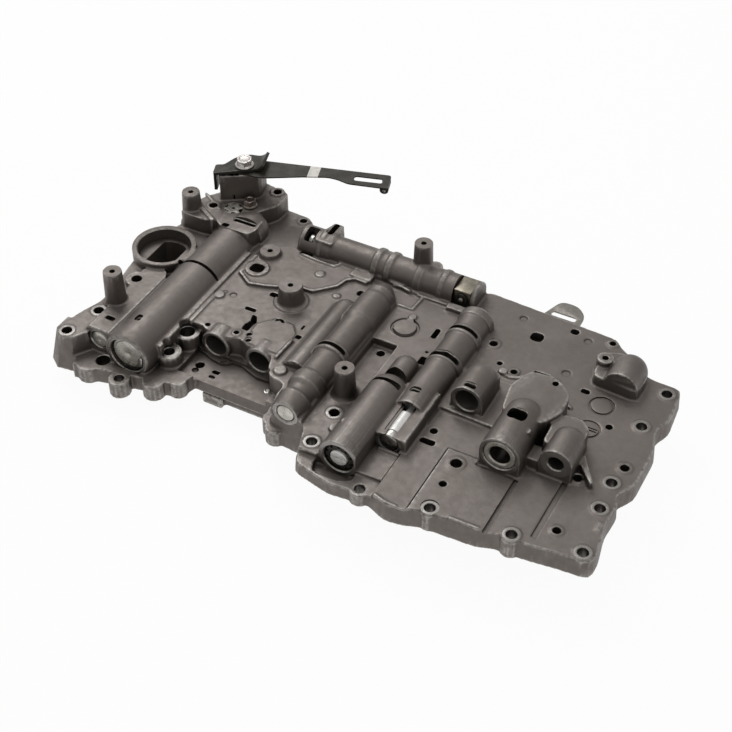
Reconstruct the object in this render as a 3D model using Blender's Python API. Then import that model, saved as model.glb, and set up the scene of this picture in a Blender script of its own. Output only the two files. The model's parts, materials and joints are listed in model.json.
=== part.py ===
"""Transmission valve body: cast upper body with its valves, separator plate, lower body and detent spring.

Every size and place below is in millimetres; make_object turns them into metres.
X runs along the length, Y along the main valve bores (bore mouths face -Y), Z up from the
flat underside of the lower casting. DECK is the cast top face, and heights are given from it.
"""
import math

import bmesh
import bpy
from mathutils import Matrix, Vector

MM = 0.001
GAP = 0.3                 # clearance between pieces that touch
RUNNING = 0.35            # radial clearance of a valve in its bore
BURY = 2.0                # how far a raised form reaches down into the slab it stands on
THROUGH = 1.0             # how far a cut runs past the face it starts from
SAME_POINT = 0.01         # points of an outline closer than this are one

# Hexagon flange bolts
BOLT_SIZES = {
    "six": {"flats": 10.0, "flange": 6.6, "shank": 2.9},
    "five": {"flats": 8.0, "flange": 5.3, "shank": 2.4},
}
BOLT_HEAD_H = 4.2
BOLT_FLANGE_T = 1.4
BOLT_LAP = 0.5            # how far head and shank reach into the flange
UNDER_BOLTS = [(-86.0, 66.0), (-86.0, -14.0), (20.0, 70.0), (140.0, 46.0), (142.0, -40.0), (20.0, -44.0)]
UNDER_SHANK = 2.0
UNDER_SEAT = BOLT_HEAD_H + BOLT_FLANGE_T + 2 * GAP
UNDER_SPACE = 1.0         # room round the flange in its counterbore
UNDER_ROOF = 2.2          # metal left over the end of the shank

# Heights
DECK = 38.0               # top face of the upper casting
RIGHT_WALL = 13.0         # height of the right half's edge below the deck
LEDGE = 15.0              # depth of the front ledge under the two open bores
SHELF = 15.0              # depth of the shelf in front of the accumulator
PLATFORM = 13.0           # height of the rear left platform above the deck
GASKET_T = 0.6
PLATE_T = 1.2
RIGHT_JOINT = DECK - RIGHT_WALL
LOWER_TOP = RIGHT_JOINT - 2 * GASKET_T - PLATE_T - 4 * GAP
LOWER_STEP_TOP = UNDER_SEAT + UNDER_SHANK + GAP + UNDER_ROOF
LEFT_BOTTOM = LOWER_STEP_TOP + GAP

# Round forms: number of sides
SIDES = {"large": 20, "boss": 14, "hole": 10, "small": 8}
DOME_STEPS = 3
DOME_FLAT = 0.175         # flat middle of a dome against its radius
FLAT_ANGLE = math.radians(0.2)
SMOOTH_ANGLE = math.radians(35.0)

# Upper casting, seen from above: the thin right half and the deep left half
DRAFT_RIGHT = 1.0         # how far the walls lean out from top to bottom
DRAFT_LEFT = 3.0
CORNER_ROUND = 4.0
FORM_ROUND = 3.0          # corner radius of the smaller raised and lowered fields
RIGHT_OUTLINE = [
    (-8.0, -64.0), (-3.0, -78.0), (0.0, -89.0), (26.0, -95.0), (52.0, -92.0), (64.0, -97.5), (76.0, -96.0),
    (84.0, -92.5), (120.0, -90.5), (128.0, -87.0), (148.0, -86.0), (166.0, -83.5), (184.0, -82.0),
    (184.5, -72.0), (180.5, -52.0), (181.5, -34.0), (178.0, -28.0), (185.0, -16.0), (185.0, 18.0),
    (180.0, 32.0), (185.0, 44.0), (182.5, 73.0), (160.0, 74.0), (150.0, 84.0), (136.0, 92.0), (130.0, 98.5),
    (39.0, 103.0), (34.0, 98.0), (-88.0, 98.0), (-96.0, 106.0), (-108.0, 117.0), (-127.0, 118.0),
    (-127.0, 60.0), (-60.0, -21.0), (-34.0, -45.0), (-32.0, -58.0),
]
LEFT_OUTLINE = [
    (-193.5, -60.0), (-190.0, -68.0), (-180.0, -67.0), (-173.5, -55.0), (-113.0, -54.0), (-113.0, -43.0),
    (-38.0, -43.0), (-34.0, -60.0), (-10.0, -62.0), (-10.0, 96.0), (-88.0, 98.0), (-96.0, 106.0),
    (-108.0, 117.0), (-127.0, 118.0), (-150.0, 112.0), (-178.0, 86.0), (-186.0, 66.0), (-192.0, 40.0),
    (-190.0, 12.0), (-185.0, -14.0), (-185.0, -28.0), (-190.0, -42.0),
]

# Bolt holes of the upper casting: x, y. Each stands in a lobe of the flange with a machined ring.
BOLT_HOLE_R = 3.2
LOBE_R = 6.6
RING_R = 5.6
RING_H = 0.7
RIGHT_BOLT_HOLES = [
    (175.7, 65.2), (171.7, 31.2), (172.4, -20.4), (173.7, -42.0), (177.4, -76.8), (137.4, -83.6),
    (88.4, -87.6), (3.0, -73.8), (3.0, -46.2),
]
LEFT_BOLT_HOLES = [(-186.4, -62.0), (-180.0, -36.2)]
APRON_BOLT_HOLE = (44.3, -90.0)
SHELF_BOLT_HOLE = (-141.5, -70.5)
SHELF_LOBES = [(-141.5, -70.5, 7.2), (-121.0, -62.0, 7.5), (-108.0, -53.5, 6.5), (-167.5, -67.5, 8.0)]
FRONT_SHELF_OUTLINE = [(-179.0, -62.0), (-176.0, -74.0), (-104.0, -58.0), (-100.0, -44.0), (-140.0, -40.0)]
CORNER_OUTLINE = [(-194.5, -50.0), (-194.5, -62.5), (-190.0, -65.5), (-181.0, -65.0), (-180.0, -50.0)]
CORNER_DRAFT = 6.5

# Lowered fields of the left half: the ledge under the open bores, the gap beside it and the front shelf
LEDGE_FIELD = [
    (-113.0, -80.0), (-37.0, -80.0), (-37.0, -38.0), (-50.0, -36.0), (-55.0, -28.0), (-57.0, -19.0),
    (-77.0, -19.0), (-84.0, -15.0), (-90.0, -18.0), (-109.0, -18.0), (-113.0, -15.0),
]
GAP_FIELD = [(-130.0, -100.0), (-111.5, -100.0), (-111.5, -16.0), (-126.0, -16.0)]
SHELF_FIELD = [(-172.5, -56.0), (-111.0, -56.0), (-111.0, -100.0), (-183.0, -100.0), (-180.5, -68.0)]

# Accumulator: the large half-round form at the left, narrower at its rear end
ACC_X = -142.0
ACC_AXIS = DECK - 5.0
ACC_R = 17.0
ACC_BORE_R = 12.4
ACC_FRONT = -60.0
ACC_BACK = 76.0
ACC_BORE_END = 34.0
# Profile steps of a round form: distance from its front end (or before its rear end), radius against its own
ACC_STEPS = [(0.0, -3.0), (3.5, -1.8), (6.0, 0.0)]
ACC_END_STEPS = [(14.0, 0.0), (5.0, -3.0), (0.0, -7.0)]
ACC_FLANK = {"out": 2.0, "front": 12.0, "back": 14.0, "top": 2.0}
ACC_REAR_X = -139.0
ACC_REAR_R = 12.5
ACC_REAR_AXIS = DECK + 2.5
ACC_REAR_FRONT = 52.0
ACC_REAR_END = 94.0

# Flat ridge beside the accumulator, with its own small bore
SIDE_X = -167.0
SIDE_HALF = 9.0
SIDE_TOP = 4.0
SIDE_CHAMFER = 2.0
SIDE_PAD = (-174.3, -0.5)
SIDE_PAD_R = 7.5
SIDE_AXIS = DECK - 5.5
SIDE_BORE_R = 6.3
SIDE_FRONT = -55.0
SIDE_BACK = 8.0
SIDE_BORE_END = -2.0

# Round port at the far left
PORT_X = -175.5
PORT_Y = 34.5
PORT_R = 22.0
PORT_RIM = 8.0
PORT_MOUTH_R = 18.4
PORT_THROAT_R = 16.0
PORT_STEP = 9.0
PORT_FLOOR_T = 3.0
PORT_CHORD = 9.0

# Rear left platform and the pedestal that carries the detent spring
PLATFORM_OUTLINE = [
    (-184.0, 66.0), (-178.0, 88.0), (-170.0, 100.0), (-150.0, 124.0), (-126.0, 120.0), (-126.0, 104.0),
    (-134.0, 92.0), (-142.0, 74.0), (-163.0, 66.0),
]
PEDESTAL_TOP = 33.7
PEDESTAL_OUTLINE = [(-165.5, 89.2), (-141.0, 105.5), (-146.0, 124.0), (-160.0, 122.0), (-168.5, 99.0)]
PLATFORM_PLUG = (-151.8, 86.4)
PLATFORM_PLUG_R = 6.4
PLATFORM_PLUG_T = 4.0
PLATFORM_PLUG_NOTCHES = 6
PLATFORM_PLUG_NOTCH_R = 1.5
PLATFORM_PLUG_HOLE_R = 1.0
PLATFORM_RIB = [(-177.6, 77.2), (-176.0, 80.2), (-156.0, 69.0), (-157.4, 66.4)]
PLATFORM_RIB_H = 1.2
PLATFORM_BOLT = (-143.6, 95.0)
PLATFORM_BOLT_DEPTH = 8.0

# Raised step of the deck behind the open bores, with its wavy front edge
STEP_H = 2.0
STEP_OUTLINE = [
    (-118.0, 70.0), (-118.0, 40.3), (-106.9, 32.9), (-95.3, 36.0), (-89.0, 38.5), (-78.0, 45.0),
    (-64.9, 46.1), (-53.3, 58.2), (-51.1, 66.6), (-45.7, 70.7), (-37.8, 70.1), (-34.0, 84.0),
    (-100.0, 84.0),
]

# Small plug pressed into the front ledge
LEDGE_PLUG = (-53.8, -32.9)
LEDGE_PLUG_R = 2.5
LEDGE_PLUG_DEPTH = 3.0
LEDGE_PLUG_STANDS = 1.0

# Centre valve, with its waisted half-round form
CENTRE_X = -21.5
CENTRE_AXIS = DECK + 3.0
CENTRE_R = 11.0
CENTRE_BORE_R = 6.3
CENTRE_FRONT = -64.0
CENTRE_BACK = 72.0
CENTRE_BORE_END = 34.0
CENTRE_STEPS = [
    (0.0, -2.2), (5.0, -1.0), (12.0, 0.0), (15.0, -1.6), (19.0, -1.4), (23.0, 0.6), (31.0, 0.6), (34.0, -0.8),
]
CENTRE_END_STEPS = [
    (46.0, -0.6), (42.0, 0.5), (20.0, 0.3), (17.0, -0.8), (12.0, -0.5), (6.0, -3.5), (2.0, -6.5), (0.0, -9.0),
]
CENTRE_FLARE = 2.0
CENTRE_LOBES = [(-31.0, -60.0, 7.0), (-37.0, -55.0, 6.0)]

# Shallow form left of the centre valve
SHALLOW_X = -38.0
SHALLOW_R = 8.5
SHALLOW_AXIS = DECK - 2.0
SHALLOW_FRONT = -24.0
SHALLOW_BACK = 50.0

# Pressure regulator: the large bore with the slotted adjuster
REG_X = 25.0
REG_AXIS = DECK + 3.0
REG_R = 13.2
REG_BORE_R = 9.8
REG_FRONT = -81.5
REG_BACK = -20.0
REG_BORE_END = -12.0
REG_TAIL_X = 23.0
REG_TAIL_R = 8.5
REG_TAIL_BACK = 18.0
REG_WEB = (-80.5, -52.0)     # front and back of the wall between the regulator and the right valve's block

# Right valve, whose spool shows through a window
RIGHT_X = 45.0
RIGHT_AXIS = DECK + 3.0
RIGHT_R = 11.0
RIGHT_BORE_R = 6.2
RIGHT_FRONT = -56.0
RIGHT_BACK = 77.0
RIGHT_BORE_END = 36.0
RIGHT_FLARE = 4.0
WINDOW_FRONT = -50.0
WINDOW_BACK = -29.0
WINDOW_W = 5.4
BLOCK_TOP = 9.0
BLOCK_BACK = -9.0
BLOCK_WALL_X = 56.5

# Curved slits over the round forms: x, axis, bore radius, form radius, half angle, place along Y, width
SLIT_FLOOR = 1.2          # metal left between a slit and the bore under it
SLIT_RISE = 3.0           # how far the cutters reach past the form
SLITS = [
    (ACC_X, ACC_AXIS, ACC_BORE_R, ACC_R, 66.0, 25.0, 2.4),
    (CENTRE_X, CENTRE_AXIS, CENTRE_BORE_R, CENTRE_R, 56.0, -6.5, 3.0),
    (REG_X, REG_AXIS, REG_TAIL_R, REG_R, 44.0, REG_BACK, 2.4),
    (RIGHT_X, RIGHT_AXIS, RIGHT_BORE_R, RIGHT_R, 56.0, 18.8, 3.6),
    (RIGHT_X, RIGHT_AXIS, RIGHT_BORE_R, RIGHT_R, 56.0, 46.8, 2.8),
]

# Levels of the flange in front of the valves: outline and height against the deck
APRON_DROP = 4.0
APRON_OUTLINE = [(-10.0, -81.5), (54.0, -80.5), (54.0, -110.0), (-10.0, -110.0)]
BAY_DROP = 1.5
BAY_OUTLINE = [(38.2, -81.0), (54.0, -80.8), (54.0, -59.5), (38.2, -59.5)]
REG_POCKET_DROP = 8.0
REG_POCKET_OUTLINE = [(9.0, -80.0), (37.0, -80.0), (37.0, -87.0), (28.0, -91.0), (12.0, -90.5)]
PLATEAU_H = 1.2
PLATEAU_OUTLINE = [
    (77.0, -95.2), (84.5, -91.9), (120.0, -89.9), (123.5, -88.4), (123.5, -45.5), (97.0, -45.5),
    (97.0, -40.5), (77.0, -40.5),
]
TERRACE_H = 2.5
TERRACE_OUTLINE = [(57.0, -12.8), (96.0, -14.0), (98.0, 26.0), (57.0, 26.0)]
CENTRE_FIELD_DROP = 6.0
CENTRE_FIELD_OUTLINE = [(-13.0, -14.0), (8.5, -14.0), (8.5, 26.5), (-13.0, 26.5)]
EDGE_GROOVE_DEPTH = 1.2
EDGE_GROOVE_OUTLINE = [(147.0, -79.5), (150.4, -79.5), (150.4, -33.5), (147.0, -33.5)]
EDGE_PAD_H = 0.6
EDGE_PAD_OUTLINE = [(177.0, -58.5), (180.0, -58.5), (180.0, -51.5), (177.0, -51.5)]

# Manual valve, across the rear
MANUAL_Y = 90.0
MANUAL_AXIS = DECK + 4.0
MANUAL_R = 11.0
MANUAL_BORE_R = 6.2
MANUAL_LEFT = -97.0
MANUAL_RIGHT = 37.0
MANUAL_POCKET_LEFT = (-93.0, -83.5)
MANUAL_POCKET_RIGHT = (21.0, 34.0)
MANUAL_POCKET_FRONT = 77.5
MANUAL_POCKET_BACK = 98.0
MANUAL_SLOT = (-79.5, -76.0)
MANUAL_SLOT_BACK = 104.0
MANUAL_STEPS = [          # from its left end: distance, radius against MANUAL_R
    (0.0, -1.5), (2.0, 0.0), (24.0, 0.0), (27.0, -1.2), (56.0, -1.2), (58.0, 0.6), (61.0, 0.6),
    (63.0, -0.8), (66.0, -0.8), (68.0, 0.8), (71.0, 0.8), (73.0, -0.6), (88.0, -0.4), (90.0, 0.8),
    (94.0, 0.8), (96.0, -0.2),
]
MANUAL_END_STEP = (0.0, -0.2)
MANUAL_FOOT_TOP = 2.0
MANUAL_FEET = [           # left end, right end and front edge of each stretch of its foot
    (-97.0, -80.5, 77.0), (-80.5, -66.0, 75.0), (-66.0, -38.0, 80.5), (-38.0, -31.0, 78.5),
    (-31.0, -21.0, 80.5), (-21.0, -2.0, 76.5), (-2.0, 37.0, 75.5),
]
STOP_STEP_OUTLINE = [(20.5, 72.0), (34.0, 72.0), (34.0, 82.0), (20.5, 82.0)]
REAR_STEP_OUTLINE = [(-51.0, 71.5), (-35.5, 71.5), (-35.5, 82.0), (-51.0, 82.0)]
REAR_STEP_H = 3.5

# Two open bores in the front of the centre platform
OPEN_BORE_X = (-99.5, -66.5)
OPEN_BORE_R = 7.6
OPEN_BORE_FRONT = -21.5
OPEN_BORE_END = 10.0
OPEN_BORE_AXIS = DECK - 8.5
OPEN_COLLAR_R = 10.4
OPEN_COLLAR_BACK = -10.0

# Open bores of the right half
BLOCK_BORE = {"x": 73.4, "front": -9.0, "axis": 10.5, "bore": 7.6, "form": 10.6, "back": 22.0, "end": 12.0}
RINGED_BORE = {"x": 110.2, "front": -43.0, "axis": 12.0, "bore": 10.2, "form": 12.8, "back": 4.0, "end": -4.0}
LEDGE_BORE = {"x": 141.3, "front": -33.0, "axis": 11.5, "bore": 4.8, "form": 10.2, "back": -4.0, "end": -14.0}
RING_SLEEVE_BORE_R = 6.6
RING_SLEEVE_DEPTH = 12.0
RING_SLEEVE_RECESS = 0.8
REAR_BLOCK_OUTLINE = [
    (98.0, -14.0), (124.0, -14.0), (131.0, 0.0), (130.0, 16.0), (118.0, 27.0), (100.0, 25.0), (94.0, 8.0),
]
REAR_BLOCK_TOP = 20.0
REAR_BLOCK_BOSS = (118.0, 21.5)
LEDGE_SHELF_OUTLINE = [(120.0, -32.0), (132.0, -32.0), (132.0, -20.0), (120.0, -20.0)]
LEDGE_BLOCK_OUTLINE = [
    (129.0, -24.0), (150.0, -24.0), (150.0, -2.0), (143.0, 4.0), (132.0, 3.0), (128.0, -4.0),
]
LEDGE_BLOCK_TOP = 17.0
LEDGE_SHELF_TOP = 8.0
RIB_OUTLINE = [(150.0, -18.0), (163.0, -32.0), (164.5, -30.5), (152.0, -12.0)]
RIB_TOP = 6.0

# Domed block at the rear right
HOUSE_OUTLINE = [(131.0, 51.5), (161.0, 49.5), (162.0, 66.0), (156.0, 76.0), (140.0, 80.0), (128.5, 74.0)]
HOUSE_TOP = 8.0
HOUSE_DOME = {"x": 149.5, "rise": 5.0, "radius": 11.5, "front": 51.0, "back": 79.0}
HOUSE_BOSS = (133.6, 66.0)
HOUSE_BOSS_R = 5.4
HOUSE_BOSS_TOP = 12.0

# Tall bosses: x, y, height above the deck, top radius, base radius
TALL_BOSSES = [
    (-173.7, -24.5, 28.0, 6.2, 7.2), (-178.8, 75.1, 26.0, 6.2, 7.4), (-73.2, 31.6, 15.0, 7.9, 8.7),
    (0.3, -28.0, 22.0, 6.2, 7.2), (-7.9, 95.4, 30.0, 6.2, 7.0), (-110.0, 66.0, 6.0, 6.9, 7.6),
]
BOSS_HOLE_R = 1.7
BOSS_HOLE_DEPTH = 10.0
# Low bosses beside the front ledge: x, y, top under the deck, outer radius, hole radius
LOW_BOSSES = [(-121.0, -21.0, 5.0, 8.8, 4.9), (-122.0, -41.0, 7.0, 8.4, 3.4)]
# Small bumps on the edges: x, y, radius, top above the deck
BUMPS = [
    (-78.0, 103.0, 5.0, 8.0), (-38.0, 103.0, 5.0, 3.0), (-3.0, 104.0, 5.5, 6.0), (-45.0, -30.0, 4.2, 2.0),
    (5.0, 55.0, 2.6, 1.6), (5.0, 44.0, 8.8, 1.0),
]
# Casting marks: shallow dimples (x, y, radius) and plain ring grooves (x, y)
DIMPLES = [(69.0, 89.5, 2.8), (114.5, 88.5, 2.9), (113.5, 54.0, 3.0), (-111.0, 20.0, 2.5)]
DIMPLE_DEPTH = 0.8
RING_MARKS = [(144.0, 37.0), (144.0, 14.5)]
RING_MARK_R = 8.0
RING_MARK_W = 1.2
RING_MARK_DEPTH = 0.6

# Small windows into the oil channels: x, y, width along x, length along y, height of the face above the deck
CHANNEL_DEPTH = 6.0
WINDOWS = [
    (-85.5, 32.5, 8.4, 3.8, 0.0), (-93.0, 12.6, 7.6, 3.0, 0.0), (-69.8, 11.8, 6.6, 2.4, 0.0),
    (84.0, 76.5, 8.4, 8.0, 0.0), (103.6, 92.8, 5.4, 4.6, 0.0), (130.4, 44.0, 5.4, 3.6, 0.0),
    (25.0, 48.6, 3.2, 9.6, 0.0), (-37.0, 61.2, 4.4, 5.0, 0.0), (-51.6, 3.6, 3.8, 3.4, 0.0),
    (-85.5, -1.5, 4.2, 10.0, 0.0), (96.6, 43.2, 2.6, 6.4, 0.0), (101.8, 45.8, 8.0, 1.8, 0.0),
    (-109.5, 48.1, 9.4, 8.8, STEP_H), (63.5, -40.8, 9.6, 4.0, 0.0), (-136.4, 76.6, 17.0, 3.0, ACC_REAR_R),
    (-166.0, -42.0, 6.6, 3.4, SIDE_TOP), (-144.0, -40.0, 3.0, 5.0, 9.0), (-92.0, -38.5, 5.0, 2.8, -LEDGE),
    (109.7, -17.3, 11.6, 8.4, 24.0), (73.6, -4.8, 7.0, 3.6, 20.0), (43.2, -17.0, 6.0, 4.0, BLOCK_TOP),
    (22.0, -3.2, 15.0, 5.5, 8.0), (-159.2, 97.2, 6.0, 3.6, PLATFORM), (-146.8, 68.2, 5.0, 3.5, PLATFORM),
]
# Round oil holes: x, y, radius, height of the face above the deck
OIL_HOLES = [
    (-110.3, 111.6, 2.4, 0.0), (-109.6, -13.5, 1.6, 0.0), (-80.5, -9.2, 1.8, 0.0), (-78.0, -14.5, 1.7, 0.0),
    (-88.5, -12.0, 1.7, 0.0), (-0.5, 20.8, 2.6, -CENTRE_FIELD_DROP), (63.0, -31.0, 2.3, 0.0),
    (73.0, 42.5, 1.7, 0.0), (84.5, 38.5, 2.1, 0.0), (62.0, 57.0, 2.5, 0.0), (153.8, -26.5, 2.7, 0.0),
    (154.5, 22.0, 2.1, 0.0), (110.0, 42.0, 1.8, 0.0), (87.0, -50.0, 3.4, 0.0), (158.5, -69.0, 2.4, 0.0),
    (87.0, -68.0, 2.2, 0.0), (175.0, -6.0, 2.6, 0.0), (129.5, 93.0, 2.0, 0.0), (*SIDE_PAD, 3.4, SIDE_TOP),
    (-165.9, 82.6, 2.8, PLATFORM), (-134.4, 117.4, 2.8, PLATFORM), (-155.6, 98.4, 1.7, PLATFORM),
    (-160.5, -61.5, 4.6, -SHELF), (-105.0, -38.0, 2.6, -LEDGE),
]

# Lower casting
LOWER_OUTLINE = [
    (-97.0, -40.0), (-12.0, -40.0), (4.0, -58.0), (60.0, -60.0), (150.0, -54.0), (158.0, -20.0),
    (158.0, 60.0), (120.0, 84.0), (40.0, 88.0), (-20.0, 84.0), (-96.0, 84.0), (-116.0, 60.0), (-116.0, 0.0),
]
LOWER_ROUND = 5.0
LOWER_STEP_X = -6.0
LOWER_LUG = {"x": (-97.0, -82.0), "y": (-44.5, -34.0), "drop": 2.0}
LOWER_POCKET_X = (-65.0, -39.0, 39.0, 65.0, 91.0, 117.0)
LOWER_POCKET_Y = 18.0
LOWER_POCKET_W = 22.0
LOWER_POCKET_LENGTH = 56.0
LOWER_POCKET_TOP = 4.5

# Separator plate and gaskets, and the plate's tab behind the rear edge
SHEET_OUTLINE = [
    (LOWER_STEP_X, -56.0), (4.0, -66.0), (60.0, -68.0), (150.0, -64.0), (166.0, -30.0), (166.0, 62.0),
    (130.0, 92.0), (40.0, 97.0), (LOWER_STEP_X, 88.0),
]
TAB_OUTLINE = [(62.0, 84.0), (100.0, 84.0), (99.0, 126.0), (91.0, 133.5), (79.0, 133.0)]
TAB_SLOT = (77.5, 95.0, 117.0, 121.5)
TAB_ROUND = 5.0

# Valve pieces
PLUG_T = 5.0
PLUG_RECESS = 1.2
PLUG_CHAMFER = 0.5
WAIST = 0.55              # waist of a spool against its land radius
SIDE_SPOOL = 18.5
CENTRE_SPOOL = 65.5
RIGHT_SPOOL = 59.5
ACC_PISTON = 28.0
ACC_PISTON_CHAMFER = 1.0
ACC_SPRING_INSET = 4.0
ACC_PLATE_RECESS = 2.6
ACC_PLATE_T = 4.0
ACC_PLATE_STEPS = [(0.0, -2.2), (0.8, -1.6), (1.2, 0.0)]
ACC_CLIP = {"inner": -3.6, "outer": -0.6, "first": -112.0, "last": 8.0, "thickness": 1.2}
REG_SLEEVE_T = 8.0
REG_SLEEVE_BORE_R = 6.0
REG_ADJUSTER_R = 5.6
REG_ADJUSTER_LENGTH = 10.3
REG_ADJUSTER_STANDS = 0.8
REG_DRIVER_SLOT = 1.6
REG_DRIVER_DEPTH = 1.4
REG_RECESS = 1.5
REG_SPOOL = 38.0
SPRING_WIRE_R = 0.6
SPRING_TURNS = 5
SPRING_POINTS_PER_TURN = 8
SPRING_SIDES = 4
MANUAL_VALVE_LEFT = -91.0
MANUAL_WAIST_R = 3.4
MANUAL_LANDS = [(0.0, 3.0), (6.0, 30.0), (46.0, 62.0), (74.0, 84.0)]   # from the valve's left end
STOP_PIN_R = 1.8
STOP_PIN_HEIGHT = 1.5
STOP_BLOCK_TOP = 7.5
STOP_BLOCK_FRONT = 4.5
STOP_PIN_STANDS = 2.5
STOP_CLIP = {"outer": 4.2, "first": -60.0, "last": 240.0, "thickness": 1.0}

# Detent spring: the leaf's own axes are s along it and t across it
DETENT_BOLT = (-153.2, 106.0)
DETENT_BOLT_DEPTH = 14.0
LEAF_ORIGIN = (-156.3, 110.2)
DETENT_ANGLE = math.radians(17.0)
LEAF_T = 0.9
LEAF_ROOT = -4.0
LEAF_TIP = 104.0
LEAF_OUTLINE = [
    (LEAF_ROOT, -11.0), (14.0, -14.0), (20.0, -13.0), (44.0, -7.0), (61.0, -4.2), (68.0, -5.5), (76.0, -9.0),
    (LEAF_TIP, -9.6), (LEAF_TIP, 6.0), (14.0, 6.2), (LEAF_ROOT, 4.0),
]
LEAF_ROUND = 2.0
LEAF_SLOT = (79.0, 99.5, -4.6, 0.8)
FLEX_S = 2.5              # the leaf swings about this line, in the middle of its clamped end
CLAMP_T = 2.0
CLAMP_OUTLINE = [
    (-171.4, 97.2), (-167.6, 87.4), (-144.5, 104.8), (-151.0, 120.5), (-156.7, 119.0), (-163.8, 110.8),
    (-166.4, 100.2),
]
CLAMP_ROUND = 1.5
CLAMP_TAB_OUTLINE = [(-170.9, 96.0), (-168.2, 88.8), (-166.3, 89.5), (-169.0, 96.7)]
CLAMP_TAB_DROP = 13.0
CURL_START = 8.0          # where the clamp's tip starts to curl up, along the leaf
CURL_SIDES = (-8.6, 8.3)
CURL_R = 9.8
CURL_ANGLE = math.radians(62.0)
CURL_STEPS = 4
ROLLER_R = 3.0
ROLLER_LENGTH = 8.0
ROLLER_PIN_R = 1.1
ROLLER_PIN_STANDS = 0.5
ROLLER_T = -1.8
EAR_WALL = 1.5
LEAF_BOTTOM = DECK + PEDESTAL_TOP + GAP
ROLLER_Z = LEAF_BOTTOM - GAP - ROLLER_R
CLAMP_BOTTOM = LEAF_BOTTOM + LEAF_T + GAP
SKY = DECK + PEDESTAL_TOP + 10.0     # a height above every form of the casting


def clear_scene():
    """Start from an empty file."""
    for old in list(bpy.data.objects):
        bpy.data.objects.remove(old, do_unlink=True)


def material(name, colour, metallic, roughness):
    """A plain Principled material."""
    mat = bpy.data.materials.get(name) or bpy.data.materials.new(name)
    mat.use_nodes = True
    shader = mat.node_tree.nodes["Principled BSDF"]
    shader.inputs["Base Color"].default_value = (*colour, 1.0)
    shader.inputs["Metallic"].default_value = metallic
    shader.inputs["Roughness"].default_value = roughness
    return mat


def make_object(name, bm):
    """Turn a bmesh drawn in millimetres into an object in metres."""
    bmesh.ops.recalc_face_normals(bm, faces=bm.faces)
    bmesh.ops.scale(bm, vec=(MM, MM, MM), verts=bm.verts)
    mesh = bpy.data.meshes.new(name)
    bm.to_mesh(mesh)
    bm.free()
    made = bpy.data.objects.new(name, mesh)
    bpy.context.scene.collection.objects.link(made)
    return made


def along(axis, u, v, w):
    """A point whose section coordinates are u, v and whose distance along the axis is w."""
    if axis == "Z":
        return Vector((u, v, w))
    if axis == "Y":
        return Vector((u, w, v))
    return Vector((w, u, v))


def extrude(section, axis, start, end, name="form"):
    """A straight bar with the given section, from start to end along the axis."""
    bm = bmesh.new()
    lower = [bm.verts.new(along(axis, u, v, start)) for u, v in section]
    upper = [bm.verts.new(along(axis, u, v, end)) for u, v in section]
    bm.faces.new(lower)
    bm.faces.new(upper)
    for i in range(len(section)):
        j = (i + 1) % len(section)
        bm.faces.new((lower[i], lower[j], upper[j], upper[i]))
    return make_object(name, bm)


def box(x0, x1, y0, y1, z0, z1):
    """A block between two corners."""
    return extrude([(x0, y0), (x1, y0), (x1, y1), (x0, y1)], "Z", z0, z1)


def circle(u, v, radius, sides):
    """Points round a circle."""
    step = 2 * math.pi / sides
    return [(u + radius * math.cos(i * step), v + radius * math.sin(i * step)) for i in range(sides)]


def rod(axis, u, v, radius, start, end, sides=SIDES["hole"]):
    """A straight round bar."""
    return extrude(circle(u, v, radius, sides), axis, start, end)


def turned(axis, u, v, profile, sides=SIDES["large"], name="form"):
    """A turned solid: profile is a list of (distance along the axis, radius)."""
    bm = bmesh.new()
    rings = []
    for w, radius in profile:
        rings.append([bm.verts.new(along(axis, a, b, w)) for a, b in circle(u, v, radius, sides)])
    bm.faces.new(rings[0])
    bm.faces.new(rings[-1])
    for ring, following in zip(rings, rings[1:]):
        for i in range(sides):
            j = (i + 1) % sides
            bm.faces.new((ring[i], ring[j], following[j], following[i]))
    return make_object(name, bm)


def domed(start, end, radius):
    """Profile of a round form that ends in a dome at its far end."""
    profile = [(start, radius)]
    for i in range(DOME_STEPS):
        angle = 0.5 * math.pi * i / DOME_STEPS
        profile.append((end - radius + radius * math.sin(angle), radius * math.cos(angle)))
    profile.append((end, radius * DOME_FLAT))
    return profile


def stepped(start, steps, radius, end=0.0, end_steps=()):
    """Profile with steps after the start and steps before the end."""
    profile = [(start + distance, radius + step) for distance, step in steps]
    return profile + [(end - distance, radius + step) for distance, step in end_steps]


def rounded(points, radius, steps=2):
    """The outline with each corner turned into a short arc."""
    result = []
    count = len(points)
    for i, here in enumerate(points):
        before = Vector(points[i - 1]) - Vector(here)
        after = Vector(points[(i + 1) % count]) - Vector(here)
        reach = min(radius, 0.45 * before.length, 0.45 * after.length)
        first = Vector(here) + before.normalized() * reach
        last = Vector(here) + after.normalized() * reach
        for k in range(steps + 1):
            t = k / steps
            point = first * (1 - t) ** 2 + Vector(here) * 2 * t * (1 - t) + last * t ** 2
            result.append((point.x, point.y))
    return result


def grown(points, distance):
    """The counter-clockwise or clockwise outline moved outward by a distance."""
    count = len(points)
    area = sum(points[i - 1][0] * points[i][1] - points[i][0] * points[i - 1][1] for i in range(count))
    side = 1.0 if area > 0 else -1.0
    result = []
    for i, here in enumerate(points):
        back = (Vector(here) - Vector(points[i - 1])).normalized()
        ahead = (Vector(points[(i + 1) % count]) - Vector(here)).normalized()
        normal = Vector((back.y + ahead.y, -back.x - ahead.x)).normalized() * side
        result.append(tuple(Vector(here) + normal * distance))
    return result


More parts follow.
